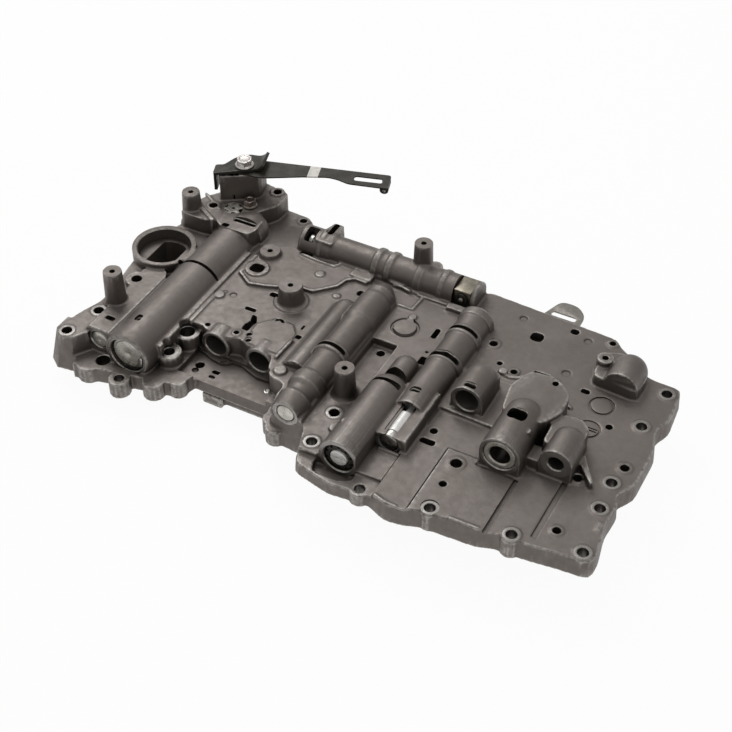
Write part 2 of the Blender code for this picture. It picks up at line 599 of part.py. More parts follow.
def drafted(outline, bottom, top, draft):
    """A slab whose walls lean out by the draft from its top to its bottom."""
    bm = bmesh.new()
    upper = [bm.verts.new((u, v, top)) for u, v in outline]
    lower = [bm.verts.new((u, v, bottom)) for u, v in grown(outline, draft)]
    bm.faces.new(upper)
    bm.faces.new(lower)
    for i in range(len(outline)):
        j = (i + 1) % len(outline)
        bm.faces.new((lower[i], lower[j], upper[j], upper[i]))
    return make_object("slab", bm)


def slot_outline(x, y, width, length, steps=1):
    """A rectangle with rounded corners about a centre."""
    w, h = width / 2, length / 2
    corners = [(x - w, y - h), (x + w, y - h), (x + w, y + h), (x - w, y + h)]
    return rounded(corners, 0.3 * min(width, length), steps)


def open_ring(x, z, inner, outer, first, last, y0, y1, steps=8):
    """A flat ring across Y that is open between its first and last angle (degrees)."""
    angles = [math.radians(first + (last - first) * k / steps) for k in range(steps + 1)]
    section = [(x + outer * math.cos(a), z + outer * math.sin(a)) for a in angles]
    section += [(x + inner * math.cos(a), z + inner * math.sin(a)) for a in reversed(angles)]
    return extrude(section, "Y", y0, y1)


def slit_across(x, z, inner, outer, half_angle, middle, width):
    """Cutter for a curved slit over the top of a round form."""
    y0, y1 = middle - width / 2, middle + width / 2
    return open_ring(x, z, inner, outer, 90.0 - half_angle, 90.0 + half_angle, y0, y1)


def boolean(base, operands, operation):
    """Join or cut the base with all operands at once, keep the result, and delete the operands."""
    if not operands:
        return base
    group = bpy.data.collections.new("operands")
    bpy.context.scene.collection.children.link(group)
    for operand in operands:
        group.objects.link(operand)
    cut = base.modifiers.new(operation.lower(), "BOOLEAN")
    cut.operation = operation
    cut.operand_type = "COLLECTION"
    cut.collection = group
    cut.solver = "EXACT"
    graph = bpy.context.evaluated_depsgraph_get()
    result = bpy.data.meshes.new_from_object(base.evaluated_get(graph))
    base.modifiers.clear()
    base.data = result
    join_flat_faces(result)
    for operand in operands:
        bpy.data.objects.remove(operand, do_unlink=True)
    bpy.data.collections.remove(group)
    return base


def join_flat_faces(mesh):
    """Join neighbouring faces that lie in one plane."""
    bm = bmesh.new()
    bm.from_mesh(mesh)
    bmesh.ops.dissolve_limit(bm, angle_limit=FLAT_ANGLE, verts=bm.verts, edges=bm.edges)
    bm.to_mesh(mesh)
    bm.free()


def finish(made, name, mat):
    """Name the piece, give it its material and shade its round faces smooth."""
    made.name = name
    made.data.name = name
    made.data.materials.clear()
    made.data.materials.append(mat)
    made.data.shade_smooth()
    made.data.set_sharp_from_angle(angle=SMOOTH_ANGLE)
    return made


def set_origin(made, x, y, z):
    """Move the piece's origin to a point in millimetres, without moving the piece."""
    place = Vector((x, y, z)) * MM
    made.data.transform(Matrix.Translation(-place))
    made.location = place
    return made


# Upper casting

def upper_slabs():
    """The two joined slabs: a deep left half and a thin right half, with the flange lobes."""
    right = drafted(rounded(RIGHT_OUTLINE, CORNER_ROUND), RIGHT_JOINT, DECK, DRAFT_RIGHT)
    parts = [right, drafted(rounded(LEFT_OUTLINE, CORNER_ROUND), LEFT_BOTTOM, DECK, DRAFT_LEFT)]
    for x, y in RIGHT_BOLT_HOLES + [APRON_BOLT_HOLE]:
        parts.append(rod("Z", x, y, LOBE_R, RIGHT_JOINT, DECK, SIDES["boss"]))
    for x, y in LEFT_BOLT_HOLES:
        parts.append(rod("Z", x, y, LOBE_R, LEFT_BOTTOM, DECK, SIDES["boss"]))
    parts.append(drafted(CORNER_OUTLINE, LEFT_BOTTOM, DECK, CORNER_DRAFT))
    return parts


def machined_rings():
    """The raised rings round the bolt holes."""
    places = RIGHT_BOLT_HOLES + LEFT_BOLT_HOLES
    return [rod("Z", x, y, RING_R, DECK - BURY, DECK + RING_H, SIDES["boss"]) for x, y in places]


def lowered_fields():
    """Cutters that lower the front ledge, the shelf, the apron and the other fields of the deck."""
    fields = [
        (rounded(LEDGE_FIELD, CORNER_ROUND), LEDGE), (GAP_FIELD, LEDGE), (SHELF_FIELD, SHELF),
        (APRON_OUTLINE, APRON_DROP), (BAY_OUTLINE, BAY_DROP), (EDGE_GROOVE_OUTLINE, EDGE_GROOVE_DEPTH),
        (rounded(REG_POCKET_OUTLINE, FORM_ROUND), REG_POCKET_DROP), (CENTRE_FIELD_OUTLINE, CENTRE_FIELD_DROP),
    ]
    return [extrude(outline, "Z", DECK - drop, DECK + THROUGH) for outline, drop in fields]


def front_shelf():
    """The scalloped shelf in front of the accumulator, a little above the bottom face."""
    parts = [extrude(FRONT_SHELF_OUTLINE, "Z", LEFT_BOTTOM, DECK - SHELF)]
    for x, y, reach in SHELF_LOBES:
        parts.append(rod("Z", x, y, reach, LEFT_BOTTOM, DECK - SHELF, SIDES["boss"]))
    for x, y, reach in CENTRE_LOBES:
        parts.append(rod("Z", x, y, reach, LEFT_BOTTOM, DECK - LEDGE, SIDES["boss"]))
    return parts


def flared_base(x, half_top, half_base, front, back, top):
    """The straight flanks of a form along Y, which spread toward the deck."""
    foot = DECK - BURY
    section = [(x - half_base, foot), (x + half_base, foot), (x + half_top, top), (x - half_top, top)]
    return extrude(section, "Y", front, back)


def round_form(x, axis, radius, front, back, profile=None, flare=0.0):
    """A half-round form over a bore along Y, with flanks down to the deck."""
    parts = [turned("Y", x, axis, profile or domed(front, back, radius))]
    if axis > DECK - BURY:
        parts.append(flared_base(x, radius, radius + flare, front, back - radius, axis))
    return parts


def valve_forms():
    """The half-round forms over the valve bores that run along Y, and the one across the rear."""
    profile = stepped(ACC_FRONT, ACC_STEPS, ACC_R, ACC_BACK, ACC_END_STEPS)
    parts = round_form(ACC_X, ACC_AXIS, ACC_R, ACC_FRONT, ACC_BACK, profile)
    flank_x = ACC_X + ACC_R + ACC_FLANK["out"]
    flank_y = (ACC_FRONT + ACC_FLANK["front"], ACC_BACK - ACC_FLANK["back"])
    parts.append(box(ACC_X, flank_x, *flank_y, LEFT_BOTTOM + BURY, DECK + ACC_FLANK["top"]))
    parts += round_form(ACC_REAR_X, ACC_REAR_AXIS, ACC_REAR_R, ACC_REAR_FRONT, ACC_REAR_END)
    profile = stepped(CENTRE_FRONT, CENTRE_STEPS, CENTRE_R, CENTRE_BACK, CENTRE_END_STEPS)
    parts += round_form(CENTRE_X, CENTRE_AXIS, CENTRE_R, CENTRE_FRONT, CENTRE_BACK, profile, CENTRE_FLARE)
    parts += round_form(SHALLOW_X, SHALLOW_AXIS, SHALLOW_R, SHALLOW_FRONT, SHALLOW_BACK)
    parts += round_form(REG_X, REG_AXIS, REG_R, REG_FRONT, REG_BACK + REG_R)
    parts += round_form(REG_TAIL_X, DECK, REG_TAIL_R, REG_BACK, REG_TAIL_BACK)
    parts += round_form(RIGHT_X, RIGHT_AXIS, RIGHT_R, WINDOW_BACK, RIGHT_BACK, None, RIGHT_FLARE)
    parts.append(box(RIGHT_X - RIGHT_R, BLOCK_WALL_X, RIGHT_FRONT, BLOCK_BACK, DECK - BURY, DECK + BLOCK_TOP))
    parts.append(box(REG_X, REG_X + REG_R, *REG_WEB, DECK - BURY, REG_AXIS))
    profile = stepped(MANUAL_LEFT, MANUAL_STEPS, MANUAL_R, MANUAL_RIGHT, [MANUAL_END_STEP])
    parts.append(turned("X", MANUAL_Y, MANUAL_AXIS, profile))
    for x0, x1, front in MANUAL_FEET:
        parts.append(box(x0, x1, front, MANUAL_Y + MANUAL_R, DECK - BURY, DECK + MANUAL_FOOT_TOP))
    return parts


def left_forms():
    """The ridge, port, platform, pedestal and low bosses of the left half."""
    left, right, top = SIDE_X - SIDE_HALF, SIDE_X + SIDE_HALF, DECK + SIDE_TOP
    side = [(left, DECK - BURY), (right, DECK - BURY), (right, top), (left + SIDE_CHAMFER, top),
            (left, top - SIDE_CHAMFER)]
    parts = [
        extrude(side, "Y", SIDE_FRONT, SIDE_BACK),
        rod("Z", *SIDE_PAD, SIDE_PAD_R, DECK - BURY, top, SIDES["boss"]),
        rod("Z", PORT_X, PORT_Y, PORT_R, LEFT_BOTTOM, DECK + PORT_RIM, SIDES["large"]),
        extrude(rounded(PLATFORM_OUTLINE, CORNER_ROUND), "Z", LEFT_BOTTOM, DECK + PLATFORM),
        extrude(rounded(PEDESTAL_OUTLINE, CORNER_ROUND), "Z", DECK, DECK + PEDESTAL_TOP),
        extrude(PLATFORM_RIB, "Z", DECK, DECK + PLATFORM + PLATFORM_RIB_H),
        extrude(rounded(STEP_OUTLINE, FORM_ROUND), "Z", DECK - BURY, DECK + STEP_H),
        extrude(REAR_STEP_OUTLINE, "Z", DECK - BURY, DECK + REAR_STEP_H),
    ]
    for x, y, drop, outer, _ in LOW_BOSSES:
        parts.append(rod("Z", x, y, outer, LEFT_BOTTOM, DECK - drop, SIDES["boss"]))
    for x in OPEN_BORE_X:
        collar = rod("Y", x, OPEN_BORE_AXIS, OPEN_COLLAR_R, OPEN_BORE_FRONT, OPEN_COLLAR_BACK, SIDES["large"])
        parts.append(collar)
    return parts


def right_forms():
    """The tall open-bore blocks, the terraces and the domed block of the right half."""
    parts = [
        extrude(PLATEAU_OUTLINE, "Z", DECK - BURY, DECK + PLATEAU_H),
        extrude(TERRACE_OUTLINE, "Z", DECK - BURY, DECK + TERRACE_H),
        extrude(rounded(REAR_BLOCK_OUTLINE, CORNER_ROUND), "Z", DECK - BURY, DECK + REAR_BLOCK_TOP),
        extrude(LEDGE_SHELF_OUTLINE, "Z", DECK - BURY, DECK + LEDGE_SHELF_TOP),
        extrude(rounded(LEDGE_BLOCK_OUTLINE, FORM_ROUND), "Z", DECK - BURY, DECK + LEDGE_BLOCK_TOP),
        extrude(RIB_OUTLINE, "Z", DECK - BURY, DECK + RIB_TOP),
        extrude(rounded(HOUSE_OUTLINE, CORNER_ROUND), "Z", DECK - BURY, DECK + HOUSE_TOP),
        rod("Z", *HOUSE_BOSS, HOUSE_BOSS_R, DECK, DECK + HOUSE_BOSS_TOP, SIDES["boss"]),
        extrude(EDGE_PAD_OUTLINE, "Z", DECK - BURY, DECK + EDGE_PAD_H),
        extrude(STOP_STEP_OUTLINE, "Z", DECK - BURY, DECK + REAR_STEP_H),
    ]
    for bore in (BLOCK_BORE, RINGED_BORE, LEDGE_BORE):
        parts += round_form(bore["x"], DECK + bore["axis"], bore["form"], bore["front"], bore["back"])
    dome = HOUSE_DOME
    parts += round_form(dome["x"], DECK + dome["rise"], dome["radius"], dome["front"], dome["back"])
    return parts


def standing_bosses():
    """The tall bosses with their screw holes, and the small bumps."""
    parts = []
    for x, y, height, top_r, base_r in TALL_BOSSES:
        parts.append(turned("Z", x, y, [(DECK - BURY, base_r), (DECK + height, top_r)], SIDES["boss"]))
    for x, y, radius, height in BUMPS:
        parts.append(rod("Z", x, y, radius, DECK - 2 * BURY, DECK + height, SIDES["boss"]))
    return parts


def bore_cutters():
    """Cutters for the valve bores and the port."""
    boss, large = SIDES["boss"], SIDES["large"]
    bores = [
        (ACC_X, ACC_AXIS, ACC_BORE_R, ACC_FRONT, ACC_BORE_END, large),
        (SIDE_X, SIDE_AXIS, SIDE_BORE_R, SIDE_FRONT, SIDE_BORE_END, boss),
        (CENTRE_X, CENTRE_AXIS, CENTRE_BORE_R, CENTRE_FRONT, CENTRE_BORE_END, boss),
        (REG_X, REG_AXIS, REG_BORE_R, REG_FRONT, REG_BORE_END, large),
        (RIGHT_X, RIGHT_AXIS, RIGHT_BORE_R, RIGHT_FRONT, RIGHT_BORE_END, boss),
    ]
    bores += [(x, OPEN_BORE_AXIS, OPEN_BORE_R, OPEN_BORE_FRONT, OPEN_BORE_END, boss) for x in OPEN_BORE_X]
    for bore in (BLOCK_BORE, RINGED_BORE, LEDGE_BORE):
        bores.append((bore["x"], DECK + bore["axis"], bore["bore"], bore["front"], bore["end"], boss))
    cuts = []
    for x, axis, radius, front, end, sides in bores:
        cuts.append(rod("Y", x, axis, radius, front - THROUGH, end, sides))
    left, right = MANUAL_POCKET_LEFT[0], MANUAL_POCKET_RIGHT[1]
    cuts.append(rod("X", MANUAL_Y, MANUAL_AXIS, MANUAL_BORE_R, left, right, boss))
    roof = DECK + PORT_RIM + THROUGH
    cuts.append(rod("Z", PORT_X, PORT_Y, PORT_MOUTH_R, DECK + PORT_RIM - PORT_STEP, roof, SIDES["large"]))
    throat = [(max(PORT_X - PORT_CHORD, min(PORT_X + PORT_CHORD, u)), v)
              for u, v in circle(PORT_X, PORT_Y, PORT_THROAT_R, SIDES["large"])]
    cuts.append(extrude(outline_without_repeats(throat), "Z", LEFT_BOTTOM + PORT_FLOOR_T, roof))
    return cuts


def pocket_cutters():
    """Cutters for the pockets that open the bores to the outside."""
    window = WINDOW_W / 2
    cuts = [box(RIGHT_X - window, RIGHT_X + window, WINDOW_FRONT, WINDOW_BACK, RIGHT_AXIS, SKY)]
    floor = MANUAL_AXIS - MANUAL_BORE_R
    for x0, x1 in (MANUAL_POCKET_LEFT, MANUAL_POCKET_RIGHT):
        cuts.append(box(x0, x1, MANUAL_POCKET_FRONT, MANUAL_POCKET_BACK, floor, SKY))
    cuts.append(box(*MANUAL_SLOT, MANUAL_Y, MANUAL_SLOT_BACK, MANUAL_AXIS, SKY))
    return cuts


def outline_without_repeats(points):
    """The outline with points that fell on each other taken out."""
    kept = []
    for point in points:
        if not kept or (Vector(point) - Vector(kept[-1])).length > SAME_POINT:
            kept.append(point)
    if (Vector(kept[0]) - Vector(kept[-1])).length <= SAME_POINT:
        kept.pop()
    return kept


def slit_cutters():
    """Cutters for the curved slits over the round forms."""
    return [slit_across(x, axis, bore_r + SLIT_FLOOR, form_r + SLIT_RISE, half_angle, middle, width)
            for x, axis, bore_r, form_r, half_angle, middle, width in SLITS]


def hole_cutters():
    """Cutters for the bolt holes, the bosses' screw holes and the small channel windows."""
    cuts = []
    for x, y in RIGHT_BOLT_HOLES + [APRON_BOLT_HOLE, SHELF_BOLT_HOLE] + LEFT_BOLT_HOLES:
        cuts.append(rod("Z", x, y, BOLT_HOLE_R, LEFT_BOTTOM - THROUGH, SKY))
    for x, y, _, _, hole in LOW_BOSSES:
        cuts.append(rod("Z", x, y, hole, LEFT_BOTTOM - THROUGH, SKY))
    for x, y, radius, face in OIL_HOLES:
        cuts.append(rod("Z", x, y, radius, DECK + face - CHANNEL_DEPTH, SKY, SIDES["small"]))
    for x, y, height, _, _ in TALL_BOSSES:
        cuts.append(rod("Z", x, y, BOSS_HOLE_R, DECK + height - BOSS_HOLE_DEPTH, SKY, SIDES["small"]))
    for x, y in (HOUSE_BOSS, REAR_BLOCK_BOSS):
        cuts.append(rod("Z", x, y, BOSS_HOLE_R, DECK, SKY, SIDES["small"]))
    for x, y, width, length, face in WINDOWS:
        cuts.append(extrude(slot_outline(x, y, width, length), "Z", DECK + face - CHANNEL_DEPTH, SKY))
    return cuts


def seat_cutters():
    """Cutters for the holes that hold the two small plugs, the platform bolt and the detent bolt."""
    platform, ledge, pedestal = DECK + PLATFORM, DECK - LEDGE, DECK + PEDESTAL_TOP
    plug_floor = platform - PLATFORM_PLUG_T - GAP
    bolt_floor = platform - PLATFORM_BOLT_DEPTH - THROUGH
    small_r, large_r = (BOLT_SIZES[size]["shank"] + RUNNING for size in ("five", "six"))
    return [
        rod("Z", *PLATFORM_PLUG, PLATFORM_PLUG_R + GAP, plug_floor, SKY, SIDES["boss"]),
        rod("Z", *PLATFORM_BOLT, small_r, bolt_floor, SKY),
        rod("Z", *LEDGE_PLUG, LEDGE_PLUG_R + GAP, ledge - LEDGE_PLUG_DEPTH - GAP, SKY, SIDES["small"]),
        rod("Z", *DETENT_BOLT, large_r, pedestal - DETENT_BOLT_DEPTH - THROUGH, SKY),
    ]


def mark_cutters():
    """Cutters for the shallow dimples and ring grooves that the casting die leaves in the deck."""
    roof = DECK + THROUGH
    cuts = [rod("Z", x, y, radius, DECK - DIMPLE_DEPTH, roof, SIDES["hole"]) for x, y, radius in DIMPLES]
    for x, y in RING_MARKS:
        groove = rod("Z", x, y, RING_MARK_R, DECK - RING_MARK_DEPTH, roof, SIDES["large"])
        inner = RING_MARK_R - RING_MARK_W
        island = rod("Z", x, y, inner, DECK - 2 * RING_MARK_DEPTH, roof + THROUGH, SIDES["large"])
        cuts.append(boolean(groove, [island], "DIFFERENCE"))
    return cuts


def upper_casting(mat):
    """The whole upper casting as one body."""
    slabs = upper_slabs()
    body = boolean(slabs[0], slabs[1:], "UNION")
    body = boolean(body, lowered_fields(), "DIFFERENCE")
    added = front_shelf() + machined_rings() + standing_bosses()
    added += valve_forms() + left_forms() + right_forms()
    body = boolean(body, added, "UNION")
    cuts = bore_cutters() + pocket_cutters() + slit_cutters()
    cuts += hole_cutters() + seat_cutters() + mark_cutters()
    body = boolean(body, cuts, "DIFFERENCE")
    return finish(body, "upper_casting", mat)


# Lower casting, gaskets and plate

def lower_casting(mat):
    """The lower casting: low under the deep left half, high under the thin right half."""
    outline = rounded(LOWER_OUTLINE, LOWER_ROUND)
    high = [(max(u, LOWER_STEP_X), v) for u, v in outline]
    body = extrude(outline, "Z", 0.0, LOWER_STEP_TOP)
    raised = extrude(outline_without_repeats(high), "Z", 0.0, LOWER_TOP)
    lug = box(*LOWER_LUG["x"], *LOWER_LUG["y"], 0.0, LOWER_STEP_TOP - LOWER_LUG["drop"])
    body = boolean(body, [raised, lug], "UNION")
    cuts = []
    for x in LOWER_POCKET_X:
        pocket = slot_outline(x, LOWER_POCKET_Y, LOWER_POCKET_W, LOWER_POCKET_LENGTH)
        cuts.append(extrude(pocket, "Z", -THROUGH, LOWER_POCKET_TOP))
    bolt = BOLT_SIZES["six"]
    for x, y in UNDER_BOLTS:
        cuts.append(rod("Z", x, y, bolt["flange"] + UNDER_SPACE, -THROUGH, UNDER_SEAT, SIDES["boss"]))
        cuts.append(rod("Z", x, y, bolt["shank"] + RUNNING, 0.0, UNDER_SEAT + UNDER_SHANK + GAP))
    body = boolean(body, cuts, "DIFFERENCE")
    return finish(body, "lower_casting", mat)


def plates(steel, paper):
    """Gasket, separator plate with its slotted tab, gasket."""
    z = LOWER_TOP + GAP
    lower = extrude(SHEET_OUTLINE, "Z", z, z + GASKET_T)
    z += GASKET_T + GAP
    plate = extrude(SHEET_OUTLINE, "Z", z, z + PLATE_T)
    tab_body = extrude(rounded(TAB_OUTLINE, TAB_ROUND), "Z", z, z + PLATE_T)
    plate = boolean(plate, [tab_body], "UNION")
    sx0, sx1, sy0, sy1 = TAB_SLOT
    slot = slot_outline(0.5 * (sx0 + sx1), 0.5 * (sy0 + sy1), sx1 - sx0, sy1 - sy0)
    plate = boolean(plate, [extrude(slot, "Z", z - THROUGH, z + PLATE_T + THROUGH)], "DIFFERENCE")
    z += PLATE_T + GAP
    upper = extrude(SHEET_OUTLINE, "Z", z, z + GASKET_T)
    finish(lower, "gasket_lower", paper)
    finish(plate, "separator_plate", steel)
    finish(upper, "gasket_upper", paper)


# Valves

def spring(name, axis, u, v, radius, start, end, mat):
    """A wire coil along the axis, closed at its ends."""
    bm = bmesh.new()
    count = SPRING_TURNS * SPRING_POINTS_PER_TURN
    rings = []
    for i in range(count + 1):
        angle = 2 * math.pi * i / SPRING_POINTS_PER_TURN
        w = start + SPRING_WIRE_R + (end - start - 2 * SPRING_WIRE_R) * i / count
        out = Vector((math.cos(angle), math.sin(angle)))
        ring = []
        for k in range(SPRING_SIDES):
            turn = 2 * math.pi * k / SPRING_SIDES
            reach = radius + SPRING_WIRE_R * math.cos(turn)
            point = along(axis, u + out.x * reach, v + out.y * reach, w + SPRING_WIRE_R * math.sin(turn))
            ring.append(bm.verts.new(point))
        rings.append(ring)
    for ring, following in zip(rings, rings[1:]):
        for k in range(SPRING_SIDES):
            j = (k + 1) % SPRING_SIDES
            bm.faces.new((ring[k], ring[j], following[j], following[k]))
    bm.faces.new(rings[0])
    bm.faces.new(rings[-1])
    return finish(make_object(name, bm), name, mat)


def landed_profile(lands, start, radius, waist):
    """Profile of a valve: lands of full radius with waists between them."""
    profile = []
    for a, b in lands:
        profile += [(start + a, waist), (start + a, radius), (start + b, radius), (start + b, waist)]
    return profile[1:-1]


def even_lands(length, count=3):
    """Equal lands over a length, with waists of the same length between them."""
    pitch = length / (2 * count - 1)
    return [(2 * i * pitch, (2 * i + 1) * pitch) for i in range(count)]


def spool(name, x, axis, radius, front, length, mat):
    """A spool along Y with three equal lands, its origin on its own axis at its front end."""
    profile = landed_profile(even_lands(length), front, radius, WAIST * radius)
    made = finish(turned("Y", x, axis, profile, SIDES["boss"]), name, mat)
    return set_origin(made, x, front, axis)


def valve_set(prefix, x, axis, bore_r, front, spool_length, bore_end, steel, bright):
    """Plug at the mouth, spool behind it and return spring at the far end of a bore along Y."""
    r = bore_r - RUNNING
    plug_front = front + PLUG_RECESS
    plug_back = plug_front + PLUG_T
    profile = [(plug_front, r - PLUG_CHAMFER), (plug_front + PLUG_CHAMFER, r), (plug_back, r)]
    finish(turned("Y", x, axis, profile, SIDES["boss"]), prefix + "_plug", bright)
    spool_front = plug_back + GAP
    spool(prefix + "_spool", x, axis, r, spool_front, spool_length, steel)
    spring_r = r - 2 * SPRING_WIRE_R
    spring_front = spool_front + spool_length + GAP
    spring(prefix + "_spring", "Y", x, axis, spring_r, spring_front, bore_end - GAP, steel)


def accumulator(steel):
    """End plate held by a clip, spring and piston of the accumulator."""
    r = ACC_BORE_R - RUNNING
    front = ACC_FRONT + ACC_PLATE_RECESS
    back = front + ACC_PLATE_T
    profile = stepped(front, ACC_PLATE_STEPS + [(ACC_PLATE_T, 0.0)], r)
    finish(turned("Y", ACC_X, ACC_AXIS, profile), "accumulator_end_plate", steel)
    clip = ACC_CLIP
    clip_back = front - GAP
    ring = open_ring(ACC_X, ACC_AXIS, r + clip["inner"], r + clip["outer"], clip["first"], clip["last"],
                     clip_back - clip["thickness"], clip_back)
    finish(ring, "accumulator_clip", steel)
    piston_back = ACC_BORE_END - GAP
    piston_front = piston_back - ACC_PISTON
    spring_r = r - ACC_SPRING_INSET
    spring("accumulator_spring", "Y", ACC_X, ACC_AXIS, spring_r, back + GAP, piston_front - GAP, steel)
    ends = [(0.0, -ACC_PISTON_CHAMFER), (ACC_PISTON_CHAMFER, 0.0)]
    profile = stepped(piston_front, ends, r, piston_back, reversed(ends))
    piston = finish(turned("Y", ACC_X, ACC_AXIS, profile), "accumulator_piston", steel)
    set_origin(piston, ACC_X, piston_front, ACC_AXIS)


def regulator(steel, dark, bright):
    """Slotted adjuster in its dark sleeve ring, with the spring and the spool behind it."""
    r = REG_BORE_R - RUNNING
    front = REG_FRONT + REG_RECESS
    back = front + REG_SLEEVE_T
    sleeve = rod("Y", REG_X, REG_AXIS, r, front, back, SIDES["large"])
    hole = rod("Y", REG_X, REG_AXIS, REG_SLEEVE_BORE_R, front - THROUGH, back + THROUGH, SIDES["boss"])
    finish(boolean(sleeve, [hole], "DIFFERENCE"), "regulator_sleeve", dark)
    adjuster_front = front - REG_ADJUSTER_STANDS
    adjuster_back = adjuster_front + REG_ADJUSTER_LENGTH
    adjuster = rod("Y", REG_X, REG_AXIS, REG_ADJUSTER_R, adjuster_front, adjuster_back, SIDES["boss"])
    half = REG_DRIVER_SLOT / 2
    slot_y = (adjuster_front - THROUGH, adjuster_front + REG_DRIVER_DEPTH)
    slot = box(REG_X - REG_BORE_R, REG_X + REG_BORE_R, *slot_y, REG_AXIS - half, REG_AXIS + half)
    finish(boolean(adjuster, [slot], "DIFFERENCE"), "regulator_adjuster", bright)
    spool_front = REG_BORE_END - GAP - REG_SPOOL
    spring_r = REG_ADJUSTER_R - SPRING_WIRE_R
    spring("regulator_spring", "Y", REG_X, REG_AXIS, spring_r, adjuster_back + GAP, spool_front - GAP, steel)
    spool("regulator_spool", REG_X, REG_AXIS, r, spool_front, REG_SPOOL, steel)


def manual_valve(steel):
    """The manual valve in its cross bore."""
    r = MANUAL_BORE_R - RUNNING
    profile = landed_profile(MANUAL_LANDS, MANUAL_VALVE_LEFT, r, MANUAL_WAIST_R)
    valve = finish(turned("X", MANUAL_Y, MANUAL_AXIS, profile, SIDES["boss"]), "manual_valve", steel)
    set_origin(valve, MANUAL_VALVE_LEFT, MANUAL_Y, MANUAL_AXIS)


def valve_stop(steel, tan, dark):
    """The stop block in the right pocket of the manual valve's bore, with its pin and clip."""
    x0, x1 = MANUAL_POCKET_RIGHT
    middle = 0.5 * (x0 + x1)
    front = MANUAL_POCKET_FRONT + STOP_BLOCK_FRONT
    back = MANUAL_POCKET_BACK - GAP
    floor = MANUAL_AXIS - MANUAL_BORE_R + GAP
    pin_z = MANUAL_AXIS + STOP_PIN_HEIGHT
    block = box(x0 + GAP, x1 - GAP, front, back, floor, MANUAL_AXIS + STOP_BLOCK_TOP)
    pin_hole = rod("Y", middle, pin_z, STOP_PIN_R + GAP, front - THROUGH, back + THROUGH)
    finish(boolean(block, [pin_hole], "DIFFERENCE"), "valve_stop_block", tan)
    pin = rod("Y", middle, pin_z, STOP_PIN_R, front - STOP_PIN_STANDS, back - THROUGH)
    finish(pin, "valve_stop_pin", steel)
    clip = STOP_CLIP
    clip_back = front - GAP
    ring = open_ring(middle, pin_z, STOP_PIN_R + GAP, clip["outer"], clip["first"], clip["last"],
                     clip_back - clip["thickness"], clip_back)
    finish(ring, "valve_stop_clip", dark)


def small_plugs(steel):
    """The notched plug in the platform and the plain one in the front ledge."""
    top = DECK + PLATFORM
    half_way, above = top - PLATFORM_PLUG_T / 2, top + THROUGH
    plug = rod("Z", *PLATFORM_PLUG, PLATFORM_PLUG_R, top - PLATFORM_PLUG_T, top, SIDES["large"])
    cuts = [rod("Z", *PLATFORM_PLUG, PLATFORM_PLUG_HOLE_R, half_way, above, SIDES["small"])]
    for x, y in circle(*PLATFORM_PLUG, PLATFORM_PLUG_R, PLATFORM_PLUG_NOTCHES):
        cuts.append(rod("Z", x, y, PLATFORM_PLUG_NOTCH_R, half_way, above, SIDES["small"]))
    finish(boolean(plug, cuts, "DIFFERENCE"), "platform_plug", steel)
    ledge = DECK - LEDGE
    plug = rod("Z", *LEDGE_PLUG, LEDGE_PLUG_R, ledge - LEDGE_PLUG_DEPTH, ledge + LEDGE_PLUG_STANDS)
    finish(plug, "ledge_plug", steel)


def ring_sleeve(steel):
    """Machined sleeve pressed into the ringed bore."""
    bore = RINGED_BORE
    front = bore["front"] + RING_SLEEVE_RECESS
    back = front + RING_SLEEVE_DEPTH
    axis = DECK + bore["axis"]
    sleeve = rod("Y", bore["x"], axis, bore["bore"] - GAP, front, back, SIDES["large"])
    hole = rod("Y", bore["x"], axis, RING_SLEEVE_BORE_R, front - THROUGH, back + THROUGH, SIDES["boss"])
    finish(boolean(sleeve, [hole], "DIFFERENCE"), "bore_sleeve", steel)


# Fasteners

def flange_bolt(name, size, x, y, seat, direction, shank, mat):
    """Hexagon flange bolt: its flange lies on the seat and its head points along direction."""
    sizes = BOLT_SIZES[size]
    bottom, top = sorted((seat + direction * GAP, seat + direction * (GAP + BOLT_FLANGE_T)))
    flange = rod("Z", x, y, sizes["flange"], bottom, top, SIDES["boss"])
    hex_r = sizes["flats"] / 2 / math.cos(math.pi / 6)
    ends = sorted((seat + direction * (GAP + BOLT_LAP), seat + direction * (BOLT_HEAD_H + BOLT_FLANGE_T)))
    head = extrude(circle(x, y, hex_r, 6), "Z", *ends)
    shank_ends = sorted((seat - direction * shank, seat + direction * (GAP + BOLT_LAP)))
    stem = rod("Z", x, y, sizes["shank"], *shank_ends)
    return finish(boolean(flange, [head, stem], "UNION"), name, mat)


# Detent spring

def detent_place(s, t):
    """Turn detent coordinates into x, y."""
    c, n = math.cos(DETENT_ANGLE), math.sin(DETENT_ANGLE)
    return (LEAF_ORIGIN[0] + s * c - t * n, LEAF_ORIGIN[1] + s * n + t * c)


def detent_outline(points):
    """An outline given in detent coordinates."""
    return [detent_place(s, t) for s, t in points]


